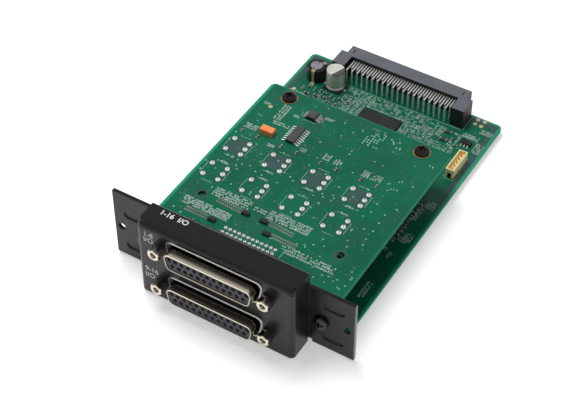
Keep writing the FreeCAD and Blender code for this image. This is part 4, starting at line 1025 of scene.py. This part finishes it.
def solder_cone(foot, height, lead, sides=14):
    """Solder joint: a hollow-sided cone, its radius falling as a power of the rise left, a little over
    the square, up to a lead whose end is rounded."""
    t = np.linspace(0, 1, 6)
    cone = np.column_stack([lead + (foot - lead) * (1 - t) ** 2.2, height * 0.78 * t])
    end = [(lead * 0.98, height * 0.9), (lead * 0.7, height * 0.98), (lead * 0.25, height)]
    return turned(np.vstack([[(foot * 1.02, -SUNK)], cone, end]), sides)


def solder_dome(foot, height, lead, sides=14):
    """Solder joint: a full dome, its radius and rise the cosine and sine of most of a quarter turn, and
    the cut end of the lead standing a little out of its top."""
    t = np.linspace(0, 1.25, 6)
    dome = np.column_stack([foot * np.cos(t), height * 0.9 * np.sin(t)])
    end = [(lead, height * 0.88), (lead, height * 0.97), (lead * 0.8, height)]
    return turned(np.vstack([[(foot * 1.02, -SUNK)], dome, end]), sides)


class CARD_OT_joints(CardOperator):
    """Solder joints of the transformers, the link and the parts soldered from below"""

    bl_idname = "card.joints"
    bl_label = "Solder joints"

    def execute(self, context):
        sizes = context.scene.card_sizes
        foot = sizes.joint_diameter / MM / 2
        dome = solder_dome(foot, sizes.joint_height / MM, 0.32)
        # A dark ring round each joint's foot.
        gap = hoop([(foot * 1.36, -SUNK), (foot * 1.34, 0.015), (foot * 0.9, 0.015),
                    (foot * 0.88, -SUNK)], 14)
        legs = on_level(LEGS, UPPER_TOP)
        put("joint_dark_rings", copies(gap, legs), "board_green", smooth=30, finish="dark_ring")
        put("leg_joints", copies(dome, legs), "solder", ("transformer_joints",), smooth=50)
        tail = copies(solder_dome(sizes.tail_joint / MM / 2, 0.78, 0.25, 12), on_level(LINK_TAILS, UPPER_TOP))
        put("tail_joints", tail, "solder", ("link_tails",), smooth=50)
        under = aimed(solder_cone(0.75, 1.0, 0.3, 8), DOWN)
        x, _, row = contact_rows()
        first = box_mm("lower_dsub_shell")[1][1] + COVER_DEPTH + TAIL_GAP
        tails = np.column_stack([x, first + np.where(row > 0, CONTACT_ROW, 0.0)])
        leads = [np.column_stack([REAR_X + shift, np.full(REAR_X.size, y)])
                 for shift, y in ((0.0, REAR_LONG_Y), (REAR_PITCH / 2, REAR_SHORT_Y))]
        main = on_level(np.concatenate([*leads, tails, LINK_TAILS]), MAIN_UNDER)
        put("main_under_joints", copies(under, main), "solder", smooth=50)
        put("upper_under_joints", copies(under, on_level(tails, UPPER_UNDER)), "solder", smooth=50)
        return {"FINISHED"}


class CARD_OT_can(CardOperator):
    """Capacitor can turned from a profile: a foot with a half-sine bead over it, a straight wall, a
    quarter-round edge and a shallow lid"""

    bl_idname = "card.can"
    bl_label = "Capacitor can"

    def execute(self, context):
        bead, bend = np.linspace(0, np.pi, 9), np.linspace(0, np.pi / 2, 6)[1:]
        shoulder = CAN_HEIGHT - CAN_EDGE
        neck = CAN_RADIUS - 0.45 * np.sin(bead) + 0.12 * (1 - bead / np.pi)
        profile = np.concatenate([
            [(3.6, 0.0), (4.1, 0.02), (4.22, 0.15), (4.2, 0.4)],
            np.column_stack([neck, 0.55 + 0.9 * bead / np.pi]),
            [(CAN_RADIUS, 1.9), (CAN_RADIUS, shoulder)],
            np.column_stack([CAN_RADIUS - CAN_EDGE + CAN_EDGE * np.cos(bend),
                             shoulder + CAN_EDGE * np.sin(bend)]),
            [(3.3, CAN_HEIGHT - 0.02), (3.15, CAN_HEIGHT - 0.1), (0.6, CAN_HEIGHT - 0.1)]])
        surface = aimed(turned(profile, 56), np.eye(3), (*CAN_PLACE, MAIN_TOP + CAN_BASE))
        put("beaded_can", surface, "can_aluminium", ("capacitor_can",), smooth=30)
        return {"FINISHED"}


class CARD_OT_coil_clips(CardOperator):
    """Clips of the coil: a strip bent over the ring, narrow at its neck and wide at its foot, carried
    along the bend with its own width at each point"""

    bl_idname = "card.coil_clips"
    bl_label = "Coil clips"

    def execute(self, context):
        bend = np.array([[2.9, 6.78], [4.15, 6.78], [4.38, 6.65], [4.43, 6.4], [4.43, 3.6], [4.43, 1.3],
                         [4.5, 0.5], [4.75, 0.2], [5.9, 0.18]])
        width = np.array([1.7, 1.7, 1.5, 1.3, 0.9, 0.9, 1.5, 2.0, 2.0])
        along = np.gradient(bend, axis=0)
        along /= np.linalg.norm(along, axis=1, keepdims=True)
        normal = np.stack([-along[:, 1], along[:, 0]], -1) * 0.17
        points = np.empty((len(bend), 4, 3))
        for i, (face, way) in enumerate(((-1, -1), (-1, 1), (1, 1), (1, -1))):
            points[:, i, ::2] = bend + face * normal
            points[:, i, 1] = way * width / 2
        clips = []
        for turn in np.radians([50.0, 278.0]):
            spin = np.array([[np.cos(turn), -np.sin(turn), 0], [np.sin(turn), np.cos(turn), 0], [0, 0, 1]])
            clips.append(aimed(capped(points), spin, (*COIL_PLACE, MAIN_TOP)))
        put("necked_clips", together(*clips), "clip_tin", ("inductor_clips",), smooth=30)
        return {"FINISHED"}


class CARD_OT_blades(CardOperator):
    """Bowed contact blades in the rear connector's mating slot: a flat section carried along a path
    that leaves its wall by the square of a sine"""

    bl_idname = "card.blades"
    bl_label = "Rear contact blades"

    def execute(self, context):
        low, high = box_mm("rear_connector_housing")
        floor, mouth = high[1] - 5.0, high[1] - 0.5
        bottom, top = low[2] + 1.9, low[2] + 7.5
        t = np.linspace(0, 1, 9)
        bow = 0.25 + 1.0 * np.sin(t * np.pi * 0.85) ** 2
        section = np.array([[-0.3, -0.12], [0.3, -0.12], [0.3, 0.12], [-0.3, 0.12]])
        rows = []
        for level, way, shift in ((bottom, 1, 0.0), (top, -1, REAR_PITCH / 2)):
            path = np.stack([np.zeros(9), floor + (mouth - floor) * t, level + way * bow], -1)
            blade = carried(section, path, (1, 0, 0))
            rows.append(copies(blade, np.outer(REAR_X + shift, [1, 0, 0])))
        put("mating_blades", together(*rows), "contact_tin", smooth=40)
        return {"FINISHED"}


STROKES = np.array([[-0.32, 0.0, 0.9, 90], [0.32, 0.0, 0.9, 90], [0.0, 0.42, 0.62, 0], [0.0, 0.0, 0.62, 0],
                    [0.0, -0.42, 0.62, 0], [0.0, 0.0, 1.0, 58], [0.0, 0.0, 1.0, -58]])


def dashes(draw, x0, y0, x1, y1, row, upright=False):
    """Rows of small printed marks in a rectangle, too small to be letters: in most cells of the rows
    three of seven strokes are drawn at random, each given by its middle, length, angle and width."""
    span, rise = (x1 - x0, y1 - y0) if not upright else (y1 - y0, x1 - x0)
    lines = max(1, int(round(rise / row)))
    cells = max(1, int(span / (row * 0.62)))
    a = (np.arange(cells) + 0.5) * span / cells
    b = (np.arange(lines) + 0.5) * rise / lines
    a, b = (g.ravel() for g in np.meshgrid(a, b))
    keep = draw.random(a.size) < 0.86
    a, b = a[keep], b[keep]
    pick = np.argsort(draw.random((a.size, len(STROKES))), axis=1)[:, :3]
    stroke = STROKES[pick]
    size = row * 0.72
    u = (a[:, None] + stroke[..., 0] * size * 0.8).ravel()
    v = (b[:, None] + stroke[..., 1] * size).ravel()
    angle = np.radians(stroke[..., 3]).ravel()
    reach = (stroke[..., 2] * size).ravel()
    wide = np.full(u.size, row / 6.2)
    if upright:
        return np.stack([x1 - v, y0 + u, reach, angle + np.pi / 2, wide], -1)
    return np.stack([x0 + u, y0 + v, reach, angle, wide], -1)


def clusters(draw, x0, y0, x1, y1):
    """Area split into cells of about two by one and a half millimetres; most hold a small block of
    marks, upright or level, drawn with its own size and place in the cell."""
    across, along = max(1, round((x1 - x0) / 2.2)), max(1, round((y1 - y0) / 1.5))
    wide, deep = (x1 - x0) / across, (y1 - y0) / along
    blocks = []
    for i, j in np.ndindex(across, along):
        if draw.random() < 0.1:
            continue
        w, h = wide * draw.uniform(0.65, 1.0), deep * draw.uniform(0.6, 1.0)
        x, y = x0 + i * wide + draw.uniform(0, wide - w), y0 + j * deep + draw.uniform(0, deep - h)
        blocks.append(dashes(draw, x, y, x + w, y + h, draw.uniform(0.6, 0.85), draw.random() < 0.4))
    return np.concatenate(blocks)


def frame_lines(x, y, width, height, gap):
    """Four thin printed lines round a rectangle, with a gap left at each corner."""
    line, upright = 0.12, np.pi / 2
    across, along = width - 2 * gap, height - 2 * gap
    return np.array([[x, y - height / 2, across, 0, line], [x, y + height / 2, across, 0, line],
                     [x - width / 2, y, along, upright, line], [x + width / 2, y, along, upright, line]])


LABEL_Y = (43.0, 47.3)
TRANSFORMER_FRAME, SURGE_FRAME = (10.4, 12.2, 2.7), (-15.1, 83.5, 9.6, 5.8, 1.8)
LINK_LINES = np.array([[13.4, 12.2, 6.4, np.pi / 2, 0.16], [12.4, 15.4, 2.0, 0.0, 0.16]])
UPPER_WORDS = [
    (-26.4, 25.4, -9.8, 30.3, 1.25), (-34.6, 16.2, -13.4, 20.6, 1.25), (-8.2, 26.6, -2.6, 29.0, 1.2),
    (-1.8, 25.6, 16.6, 30.4, 1.25), (13.6, 13.6, 34.4, 17.6, 1.25), (-22.4, 79.8, -19.4, 81.4, 1.0),
    (-10.6, 85.0, -7.0, 86.6, 1.0), (-27.8, 72.2, -20.2, 74.4, 1.1), (-36.4, 64.4, -30.6, 67.6, 1.1),
    (-9.8, 63.8, -7.2, 66.2, 1.0), (-22.6, 59.6, -19.4, 61.4, 1.0), (-37.0, 80.6, -34.4, 82.0, 0.9),
]
UPPER_TALL_WORDS = [
    (-29.0, 74.8, -25.2, 84.6, 1.1), (0.0, 64.6, 3.4, 68.2, 1.1), (5.0, 64.4, 8.6, 68.0, 1.1),
    (17.8, 64.2, 21.0, 68.0, 1.1), (22.4, 64.6, 26.4, 68.0, 1.1),
]
MAIN_AREAS = [
    (-21.6, 110.4, -9.8, 126.8), (-9.8, 119.2, 9.4, 126.8), (9.4, 106.8, 23.0, 126.8),
    (-33.0, 109.6, -21.6, 113.8), (23.0, 110.6, 34.4, 116.0), (30.2, 116.0, 34.2, 124.8),
]
MAIN_WORDS = [
    (23.4, 119.0, 26.0, 125.6, 0.9), (33.6, 124.0, 41.0, 126.8, 1.0), (41.2, 117.0, 44.6, 123.4, 1.0),
    (39.0, 129.4, 44.6, 132.2, 1.0), (39.4, 79.0, 43.6, 83.4, 1.0), (40.0, 57.4, 43.8, 63.2, 1.0),
    (39.2, 47.2, 40.9, 50.8, 0.9), (36.2, 50.4, 37.9, 52.2, 0.9), (-43.6, 109.6, -34.8, 113.0, 1.0),
    (-44.4, 96.0, -38.6, 99.6, 1.0),
]
MAIN_TALL_WORDS = [(38.3, 70.4, 40.3, 78.2, 1.0), (39.4, 24.0, 42.2, 33.0, 1.4)]
MAIN_FRAMES = [
    (-0.5, 112.9, 19.4, 13.6, 0.5), (40.4, 105.5, 5.0, 14.4, 0.5), (0.0, 133.4, 64.6, 12.4, 0.8),
    (37.3, 120.7, 8.0, 8.4, 0.8),
]


def traces(draw, count, low, high):
    """Bent traces: a straight run, one turned by an eighth of a turn and a second straight run, laid
    end to end; places, ways and lengths are drawn at random."""
    start = draw.uniform(low + 4, high - 4, (count, 2))
    quarter = draw.integers(0, 4, count) * np.pi / 2
    turn = draw.choice([-1, 1], count) * np.pi / 4
    runs = draw.uniform([2, 1, 2], [11, 6, 11], (count, 3))
    angles = np.stack([quarter, quarter + turn, quarter], -1)
    steps = runs[..., None] * np.stack([np.cos(angles), np.sin(angles)], -1)
    ends = start[:, None] + np.cumsum(steps, axis=1)
    inside = ((ends > low + 2) & (ends < high - 2)).all(axis=(1, 2))
    middles = (ends - steps / 2)[inside]
    return np.stack([middles[..., 0].ravel(), middles[..., 1].ravel(), runs[inside].ravel() + 0.1,
                     angles[inside].ravel()], -1)


class CARD_OT_traces(CardOperator):
    """Trace gaps that show through the mask of both boards"""

    bl_idname = "card.traces"
    bl_label = "Traces"

    def execute(self, context):
        sizes = context.scene.card_sizes
        draw = np.random.default_rng(5)
        for name, low, high in (("upper_traces", UPPER_LOW, UPPER_HIGH),
                                ("main_traces", MAIN_LOW, MAIN_HIGH)):
            behind_ears = np.array([low[0], BRACKET_HIGH[1] + 1.0])
            x, y, reach, angle = traces(draw, sizes.trace_count, behind_ears, high[:2]).T
            rise = high[2] + 0.004 + 0.008 * np.arange(x.size) / x.size
            put(name, bars(x, y, reach, sizes.trace_width / MM, angle, high[2] - SUNK, rise),
                "board_green", finish="trace_gap")
        return {"FINISHED"}


class CARD_OT_print(CardOperator):
    """White print on the boards: outlines of the parts and rows of small marks"""

    bl_idname = "card.print"
    bl_label = "Board print"

    def execute(self, context):
        sizes = context.scene.card_sizes
        draw = np.random.default_rng(7)
        weight, rise = sizes.print_weight, sizes.print_rise / MM
        upper = [dashes(draw, *block) for block in UPPER_WORDS]
        upper += [dashes(draw, *block, upright=True) for block in UPPER_TALL_WORDS]
        for x in TRANSFORMER_X:
            for y, label in zip(TRANSFORMER_Y, LABEL_Y):
                upper.append(frame_lines(x, y, *TRANSFORMER_FRAME))
                upper.append(dashes(draw, x - 1.4, label - 0.8, x + 1.9, label + 0.8, 1.4))
        upper += [frame_lines(*SURGE_FRAME), LINK_LINES]
        main = [clusters(draw, *area) for area in MAIN_AREAS]
        main += [dashes(draw, *block) for block in MAIN_WORDS]
        main += [dashes(draw, *block, upright=True) for block in MAIN_TALL_WORDS]
        main += [frame_lines(*part) for part in MAIN_FRAMES]
        for name, marks, level in (("upper_print", upper, UPPER_TOP), ("main_print", main, MAIN_TOP)):
            x, y, reach, angle, wide = np.concatenate(marks).T
            surface = bars(x, y, reach, wide * weight, angle, level - SUNK, level + rise)
            put(name, surface, "print_white")
        return {"FINISHED"}


def away_from(points, middles, reach):
    """True for points that keep their distance from every middle."""
    gap = np.linalg.norm(points[:, None] - np.asarray(middles)[None], axis=2)
    return (gap > reach).all(axis=1)


SEEN_VIAS = [
    (31.0, 49.2), (36.4, 45.7), (36.3, 50.6), (33.1, 40.0), (36.5, 40.9), (36.2, 35.9), (39.9, 18.8),
    (41.4, 16.2), (41.1, 11.5), (40.0, 9.1), (33.6, 9.2), (36.2, 11.3), (29.0, 9.2), (31.3, 11.8),
    (-37.9, 35.2), (-38.4, 40.2), (-22.8, 34.1), (-25.1, 45.7), (-21.9, 46.6), (-19.8, 50.6), (-21.7, 54.4),
    (-7.9, 44.1), (13.9, 54.5), (14.2, 49.3), (11.3, 46.6), (14.9, 46.5), (30.9, 54.1), (29.4, 45.8),
    (14.0, 35.1), (18.7, 88.6), (22.2, 88.7), (22.3, 85.3), (20.4, 86.9), (6.2, 87.1), (-2.3, 87.4),
]
PAD_ROWS = [
    (-22.4, 24.3, -11.6, 23.8), (-30.6, 14.5, -20.6, 14.6), (0.4, 24.2, 11.5, 23.3),
    (4.8, 18.9, 15.9, 18.6),
]
LATTICE = np.stack(np.meshgrid(9.4 + 1.25 * np.arange(6), 81.0 + 1.35 * np.arange(8)), -1).reshape(-1, 2)
TALL_PARTS = [(-15.4, 70.5), (-15.4, 67.0), (-15.4, 74.0), (-25.9, 66.2), (-15.1, 83.5)]
TEST_SPOTS = [(-41.9, 113.2), (35.1, 133.8), (35.1, 136.7), (38.2, 136.9), (38.0, 133.7)]


class CARD_OT_pads(CardOperator):
    """Vias, array pads, bare patches, ring pads, hole rims and test pads on the boards"""

    bl_idname = "card.pads"
    bl_label = "Pads and vias"

    def execute(self, context):
        sizes = context.scene.card_sizes
        draw = np.random.default_rng(11)
        radius = sizes.via_diameter / MM / 2
        strewn = draw.uniform(UPPER_LOW[:2] + [2.0, 12.0], UPPER_HIGH[:2] - 2.0, (sizes.via_count, 2))
        lattice = LATTICE[draw.random(len(LATTICE)) < 0.62]
        middles = np.concatenate([SEEN_VIAS, lattice, strewn])
        middles = middles[away_from(middles, LEGS, 1.7) & away_from(middles, TALL_PARTS, 4.2)
                          & away_from(middles, np.concatenate([BACK_HOLES, FRONT_HOLES]), 5.0)]
        ring = hoop([(radius, -SUNK), (radius * 0.9, 0.035), (radius * 0.55, 0.035),
                     (radius * 0.4, -SUNK)], 8)
        places = on_level(middles, UPPER_TOP)
        bright = draw.random(len(places)) < 0.28
        bright[:len(SEEN_VIAS) + len(lattice)] = True
        put("upper_vias", copies(ring, places[bright]), "board_green", smooth=40, finish="via_ring")
        put("masked_vias", copies(ring, places[~bright]), "board_green", smooth=40, finish="via_dim")
        pads = []
        for x0, y0, x1, y1 in PAD_ROWS:
            for shift in (-0.75, 0.75):
                t = np.linspace(0, 1, 12)
                pads.append(np.column_stack([x0 + (x1 - x0) * t, y0 + (y1 - y0) * t + shift]))
        px, py = np.concatenate(pads).T
        put("array_pads", bars(px, py, 0.95, 0.5, np.pi / 2, UPPER_TOP - SUNK, UPPER_TOP + 0.03),
            "contact_tin", finish="array_pad")
        put("bare_patches", bars(TRANSFORMER_X, np.full(4, TRANSFORMER_Y[1] + 0.2), 8.4, 8.6, 0.0,
                                 UPPER_TOP - SUNK, UPPER_TOP + 0.012, 0.995),
            "board_green", finish="bare_mask")
        outside = sizes.ring_diameter / MM / 2
        disc = hoop([(outside, -SUNK), (outside - 0.1, 0.05), (2.2, 0.05), (2.1, -SUNK)], 40)
        rims = hoop([(2.6, -SUNK), (2.5, 0.05), (1.66, 0.05), (1.66, -1.5), (1.6, -1.5), (1.6, 0.02)], 32)
        put("screw_ring_pads", copies(disc, on_level(BACK_HOLES, UPPER_TOP)), "pad_copper", smooth=30)
        put("hole_rims", copies(rims, on_level(FRONT_HOLES, UPPER_TOP)), "board_green", smooth=30,
            finish="hole_rim")
        spot = turned([(0.95, -SUNK), (0.9, 0.05), (0.3, 0.06)], 20)
        places = np.vstack([on_level(TEST_SPOTS, MAIN_TOP), [[-33.2, 80.2, UPPER_TOP]]])
        put("test_pads", copies(spot, places), "pad_copper", smooth=30, finish="test_pad")
        return {"FINISHED"}


MAIN_CHIPS = np.array([
    [-35.6, 113.3, 2.2, 1.3, 8], [-31.2, 113.9, 2.4, 1.5, 5], [-25.0, 112.8, 1.6, 1.0, 0],
    [-21.4, 112.4, 2.0, 1.2, 90], [-38.6, 115.2, 1.6, 1.0, 90], [-28.6, 117.2, 1.6, 0.9, 0],
    [-25.4, 116.6, 1.6, 0.9, 90], [-17.6, 116.4, 1.6, 0.9, 90], [31.2, 119.6, 1.8, 1.0, 90],
    [34.2, 117.0, 1.6, 0.9, 0], [38.2, 63.4, 2.6, 1.8, 90], [39.4, 58.4, 1.7, 1.0, 90],
    [37.4, 60.0, 1.7, 1.0, 0], [37.9, 68.8, 1.6, 0.9, 90], [38.0, 71.2, 1.6, 0.9, 90],
    [37.9, 73.8, 1.6, 0.9, 0], [38.4, 76.6, 1.6, 0.9, 90], [38.0, 79.0, 1.6, 0.9, 0],
    [37.6, 56.6, 1.6, 0.9, 90], [37.6, 66.0, 1.6, 0.9, 0], [-41.0, 100.5, 1.8, 1.0, 90],
    [-33.6, 117.0, 1.6, 0.9, 90], [-36.2, 117.8, 1.6, 0.9, 0], [-29.4, 114.6, 1.6, 0.9, 90],
    [-33.2, 111.4, 1.8, 1.0, 0], [-27.2, 114.6, 1.6, 0.9, 0], [-23.2, 115.4, 1.6, 0.9, 90],
    [-21.0, 117.2, 1.8, 1.0, 0], [-31.0, 117.2, 1.6, 0.9, 90], [-38.8, 111.4, 1.6, 0.9, 0],
    [-26.6, 110.4, 1.8, 1.0, 90], [-22.6, 110.0, 1.6, 0.9, 0], [-36.0, 110.6, 2.0, 1.2, 90],
])


def chip_ends(x, y, reach, across, angle, low, high):
    """Tinned ends of small chips: bars over both ends of each body, a little proud of it."""
    out = (reach / 2 - 0.18) * np.stack([np.cos(angle), np.sin(angle)])
    return together(*(bars(x + way * out[0], y + way * out[1], 0.42, across + 0.06, angle, low, high, 0.92)
                      for way in (-1, 1)))


class CARD_OT_small_chips(CardOperator):
    """Small chips on both boards, a tapered dark body between two tinned ends, the lead-framed chip's
    toe solder and the can's tabs"""

    bl_idname = "card.small_chips"
    bl_label = "Small chips"

    def execute(self, context):
        x = (TRANSFORMER_X[:, None] + [-3.4, 3.7]).ravel()
        y, turn = np.full(x.size, 62.0), np.full(x.size, np.pi / 2)
        mx, my, reach, across = MAIN_CHIPS[:, :4].T
        angle = np.radians(MAIN_CHIPS[:, 4])
        bodies = together(bars(x, y, 1.6, 0.95, turn, UPPER_TOP, UPPER_TOP + 0.55, 0.9),
                          bars(mx, my, reach, across, angle, MAIN_TOP, MAIN_TOP + 0.8, 0.9))
        put("small_chip_bodies", bodies, "moulding_black", finish="chip_grey")
        low, high = box_mm("chip_resistors")
        rx, ry = np.array([low[0] + 1.6, high[0] - 1.6]), np.array([high[1] - 0.85, low[1] + 0.85])
        ends = together(chip_ends(x, y, 1.6, 0.95, turn, UPPER_TOP, UPPER_TOP + 0.58),
                        chip_ends(mx, my, reach, across, angle, MAIN_TOP, MAIN_TOP + 0.83),
                        chip_ends(rx, ry, 3.2, 1.7, np.zeros(2), MAIN_TOP, high[2] + 0.04))
        put("small_chip_ends", ends, "contact_tin", finish="chip_tin")
        low, high = box_mm("receiver_chip_leads")
        toes = np.linspace(low[1] + 0.225, high[1] - 0.225, 8)
        sides = np.repeat([low[0] - 0.1, high[0] + 0.1], 8)
        fillets = bars(sides, np.tile(toes, 2), 1.0, 0.55, 0.0, UPPER_TOP - SUNK, UPPER_TOP + 0.16, 0.6)
        put("chip_toe_solder", fillets, "solder")
        low, high = box_mm("capacitor_base")
        put("can_tabs", bars([low[0] - 0.4, high[0] + 0.4], np.full(2, CAN_PLACE[1] - 0.4), 1.6, 1.3, 0.0,
                             MAIN_TOP - SUNK, MAIN_TOP + 0.25, 0.8), "contact_tin")
        return {"FINISHED"}


FACING = Matrix(((1, 0, 0), (0, 0, -1), (0, 1, 0)))
MARK_FACE = PLATE_FRONT - 0.01
CHANNEL_LINES = [("1-8", (-28.5, MARK_FACE, 17.15), FACING), ("I/O", (-28.6, MARK_FACE, 14.2), FACING),
                 ("9-16", (-28.1, MARK_FACE, -1.9), FACING), ("I/O", (-29.0, MARK_FACE, -5.2), FACING),
                 ("1-16  I/O", (-22.5, -4.0, FLANGE_TOP + 0.01), Matrix.Identity(3))]


class CARD_OT_channel_marks(CardOperator):
    """Channel numbers on the front plate and the flange"""

    bl_idname = "card.channel_marks"
    bl_label = "Channel marks"

    def execute(self, context):
        for i, (words, place, turn) in enumerate(CHANNEL_LINES):
            curve = bpy.data.curves.new(f"mark_{i}", "FONT")
            curve.body = words
            curve.size = context.scene.card_sizes.mark_height
            curve.align_x, curve.align_y = "CENTER", "CENTER"
            curve.extrude = 0.02 * MM
            curve.offset = 0.06 * MM
            text = bpy.data.objects.new(f"mark_{i}", curve)
            context.scene.collection.objects.link(text)
            context.view_layer.update()
            mesh = bpy.data.meshes.new_from_object(text.evaluated_get(context.evaluated_depsgraph_get()))
            bpy.data.objects.remove(text)
            mesh.transform(Matrix.Translation(Vector(place) * MM) @ turn.to_4x4())
            settle(f"channel_mark_{i + 1}", mesh, "print_white", finish="mark_white")
        return {"FINISHED"}


FRAME_PIXELS, ORIGIN_PIXEL, SENSOR = np.array([580.0, 400.0]), np.array([233.2818, 274.3221]), 36.0
KEY_PLACE, KEY_TARGET, KEY_SIZE = (-0.2, 0.1, 0.64), (0.0, 0.07, 0.0), 0.3
FLOOR_REACH, FLOOR_GLOW, FAR_GLOW, FAR_RUN = 1500.0, 0.42, 0.55, (250.0, 900.0)


class CARD_OT_stage(CardOperator):
    """Floor, lamp, sky and the camera at the photograph's view"""

    bl_idname = "card.stage"
    bl_label = "Stage"

    def execute(self, context):
        scene, stage = context.scene, context.scene.card_stage
        scene.view_settings.view_transform = "Standard"
        self.floor(scene, stage)
        self.sky(scene, stage)
        self.lamp(scene, stage)
        self.camera(scene, stage)
        return {"FINISHED"}

    def floor(self, scene, stage):
        """Level grid of points a metre and a half each way, just under the lowest screw heads. Its
        glow is even near the card and, for the camera, rises with the distance from it, so that the
        floor runs into the white room."""
        line = np.linspace(-FLOOR_REACH, FLOOR_REACH, 9)
        x, y = np.meshgrid(line, line, indexing="ij")
        verts = np.stack([x, y, np.full(x.shape, CAD_BOX[0][2] / MM - 0.05)], -1).reshape(-1, 3) * MM
        mesh = bpy.data.meshes.new("floor")
        mesh.from_pydata(verts.tolist(), [], grid_quads(9, 9, False).tolist())
        f = Finish("floor_white")
        light = f.add("ShaderNodeLightPath").outputs
        seen = f.maths("MAXIMUM", light["Is Camera Ray"],
                       f.maths("MAXIMUM", light["Is Glossy Ray"], light["Is Transmission Ray"]))
        across, along, _ = f.parts(f.place)
        squares = f.maths("ADD", f.maths("POWER", across, 2.0), f.maths("POWER", along, 2.0))
        far = f.maths("MULTIPLY", f.step(f.maths("SQRT", squares), *FAR_RUN), light["Is Camera Ray"])
        glow = f.maths("ADD", f.maths("MULTIPLY", seen, FLOOR_GLOW), f.maths("MULTIPLY", far, FAR_GLOW))
        f.set(Base_Color=tuple(stage.floor), Roughness=0.9, Specular_IOR_Level=0.1,
              Emission_Color=(1.0, 1.0, 1.0), Emission_Strength=glow)
        mesh.materials.append(f.material)
        floor = bpy.data.objects.new("floor", mesh)
        scene.collection.objects.link(floor)

    def sky(self, scene, stage):
        """White to the camera, soft light from overhead that fades to the sides, and in reflections a
        room that is bright at the horizon and darker above."""
        world = bpy.data.worlds.new("studio")
        world.use_nodes = True
        scene.world = world
        n = Nodes(world.node_tree)
        light = n.add("ShaderNodeLightPath").outputs
        rise = n.parts(n.add("ShaderNodeTexCoord").outputs["Generated"])[2]
        room = n.ranged(rise, 0.05, 0.6, 1.0, stage.overhead)
        soft = n.ranged(rise, 0.0, 0.6, stage.sky * 0.12, stage.sky)
        mirrored = n.maths("MAXIMUM", light["Is Glossy Ray"], light["Is Transmission Ray"])
        level = n.ranged(mirrored, 0.0, 1.0, soft, room)
        back = n.tree.nodes["Background"].inputs
        n.join(back["Strength"], n.ranged(light["Is Camera Ray"], 0.0, 1.0, level, 1.0))
        n.join(back["Color"], (1.0, 1.0, 1.0))

    def lamp(self, scene, stage):
        """Square soft lamp that faces the card and isn't mirrored in it."""
        data = bpy.data.lights.new("key_lamp", "AREA")
        data.energy, data.size = stage.key, KEY_SIZE
        lamp = bpy.data.objects.new("key_lamp", data)
        scene.collection.objects.link(lamp)
        lamp.location = KEY_PLACE
        lamp.visible_glossy = False
        lamp.rotation_mode = "QUATERNION"
        lamp.rotation_quaternion = (Vector(KEY_TARGET) - Vector(KEY_PLACE)).to_track_quat("-Z", "Y")

    def camera(self, scene, stage):
        """Camera from the fitted view: forward from azimuth and elevation, right level, both turned by
        the roll; the place follows from where the origin falls in a frame of 580 by 400."""
        az, el, ro = stage.azimuth, stage.elevation, stage.roll
        forward = np.array([-math.sin(az) * math.cos(el), math.cos(az) * math.cos(el), -math.sin(el)])
        level = np.array([math.cos(az), math.sin(az), 0.0])
        rise = np.cross(level, forward)
        right = level * math.cos(ro) + rise * math.sin(ro)
        up = -level * math.sin(ro) + rise * math.cos(ro)
        focal = stage.lens / SENSOR * FRAME_PIXELS[0]
        shift = (ORIGIN_PIXEL - FRAME_PIXELS / 2) / focal * stage.distance
        place = -(shift[0] * right - shift[1] * up + stage.distance * forward)
        data = bpy.data.cameras.new("view")
        data.sensor_fit, data.sensor_width, data.lens = "HORIZONTAL", SENSOR, stage.lens
        data.clip_start, data.clip_end = 0.01, 20.0
        camera = bpy.data.objects.new("view", data)
        scene.collection.objects.link(camera)
        axes = np.eye(4)
        axes[:3, 0], axes[:3, 1], axes[:3, 2], axes[:3, 3] = right, up, -forward, place
        camera.matrix_world = Matrix(axes.tolist())
        scene.camera = camera


class CARD_PT_panel(bpy.types.Panel):
    """Sidebar panel with the card's operators and settings"""

    bl_idname = "CARD_PT_panel"
    bl_label = "Interface card"
    bl_space_type = "VIEW_3D"
    bl_region_type = "UI"
    bl_category = "Card"

    def draw(self, context):
        for step in STEPS:
            self.layout.operator(step.bl_idname)
        for group in (context.scene.card_sizes, context.scene.card_colours, context.scene.card_stage):
            column = self.layout.column()
            for name in group.__annotations__:
                column.prop(group, name)


STEPS = (CARD_OT_finishes, CARD_OT_channel_marks, CARD_OT_sockets, CARD_OT_corner_seams, CARD_OT_cutout_rims,
         CARD_OT_jackscrews, CARD_OT_screws, CARD_OT_joints, CARD_OT_can, CARD_OT_coil_clips, CARD_OT_blades,
         CARD_OT_traces, CARD_OT_print, CARD_OT_pads, CARD_OT_small_chips, CARD_OT_stage)
GROUPS = (("card_colours", CardColours), ("card_sizes", CardSizes), ("card_stage", CardStage))


def register():
    for name, group in GROUPS:
        bpy.utils.register_class(group)
        setattr(bpy.types.Scene, name, PointerProperty(type=group))
    for kind in (*STEPS, CARD_PT_panel):
        bpy.utils.register_class(kind)


def unregister():
    for kind in (CARD_PT_panel, *reversed(STEPS)):
        bpy.utils.unregister_class(kind)
    for name, group in reversed(GROUPS):
        delattr(bpy.types.Scene, name)
        bpy.utils.unregister_class(group)


def main():
    register()
    for step in STEPS:
        space, name = step.bl_idname.split(".")
        getattr(getattr(bpy.ops, space), name)()
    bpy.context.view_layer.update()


if __name__ == "__main__":
    main()
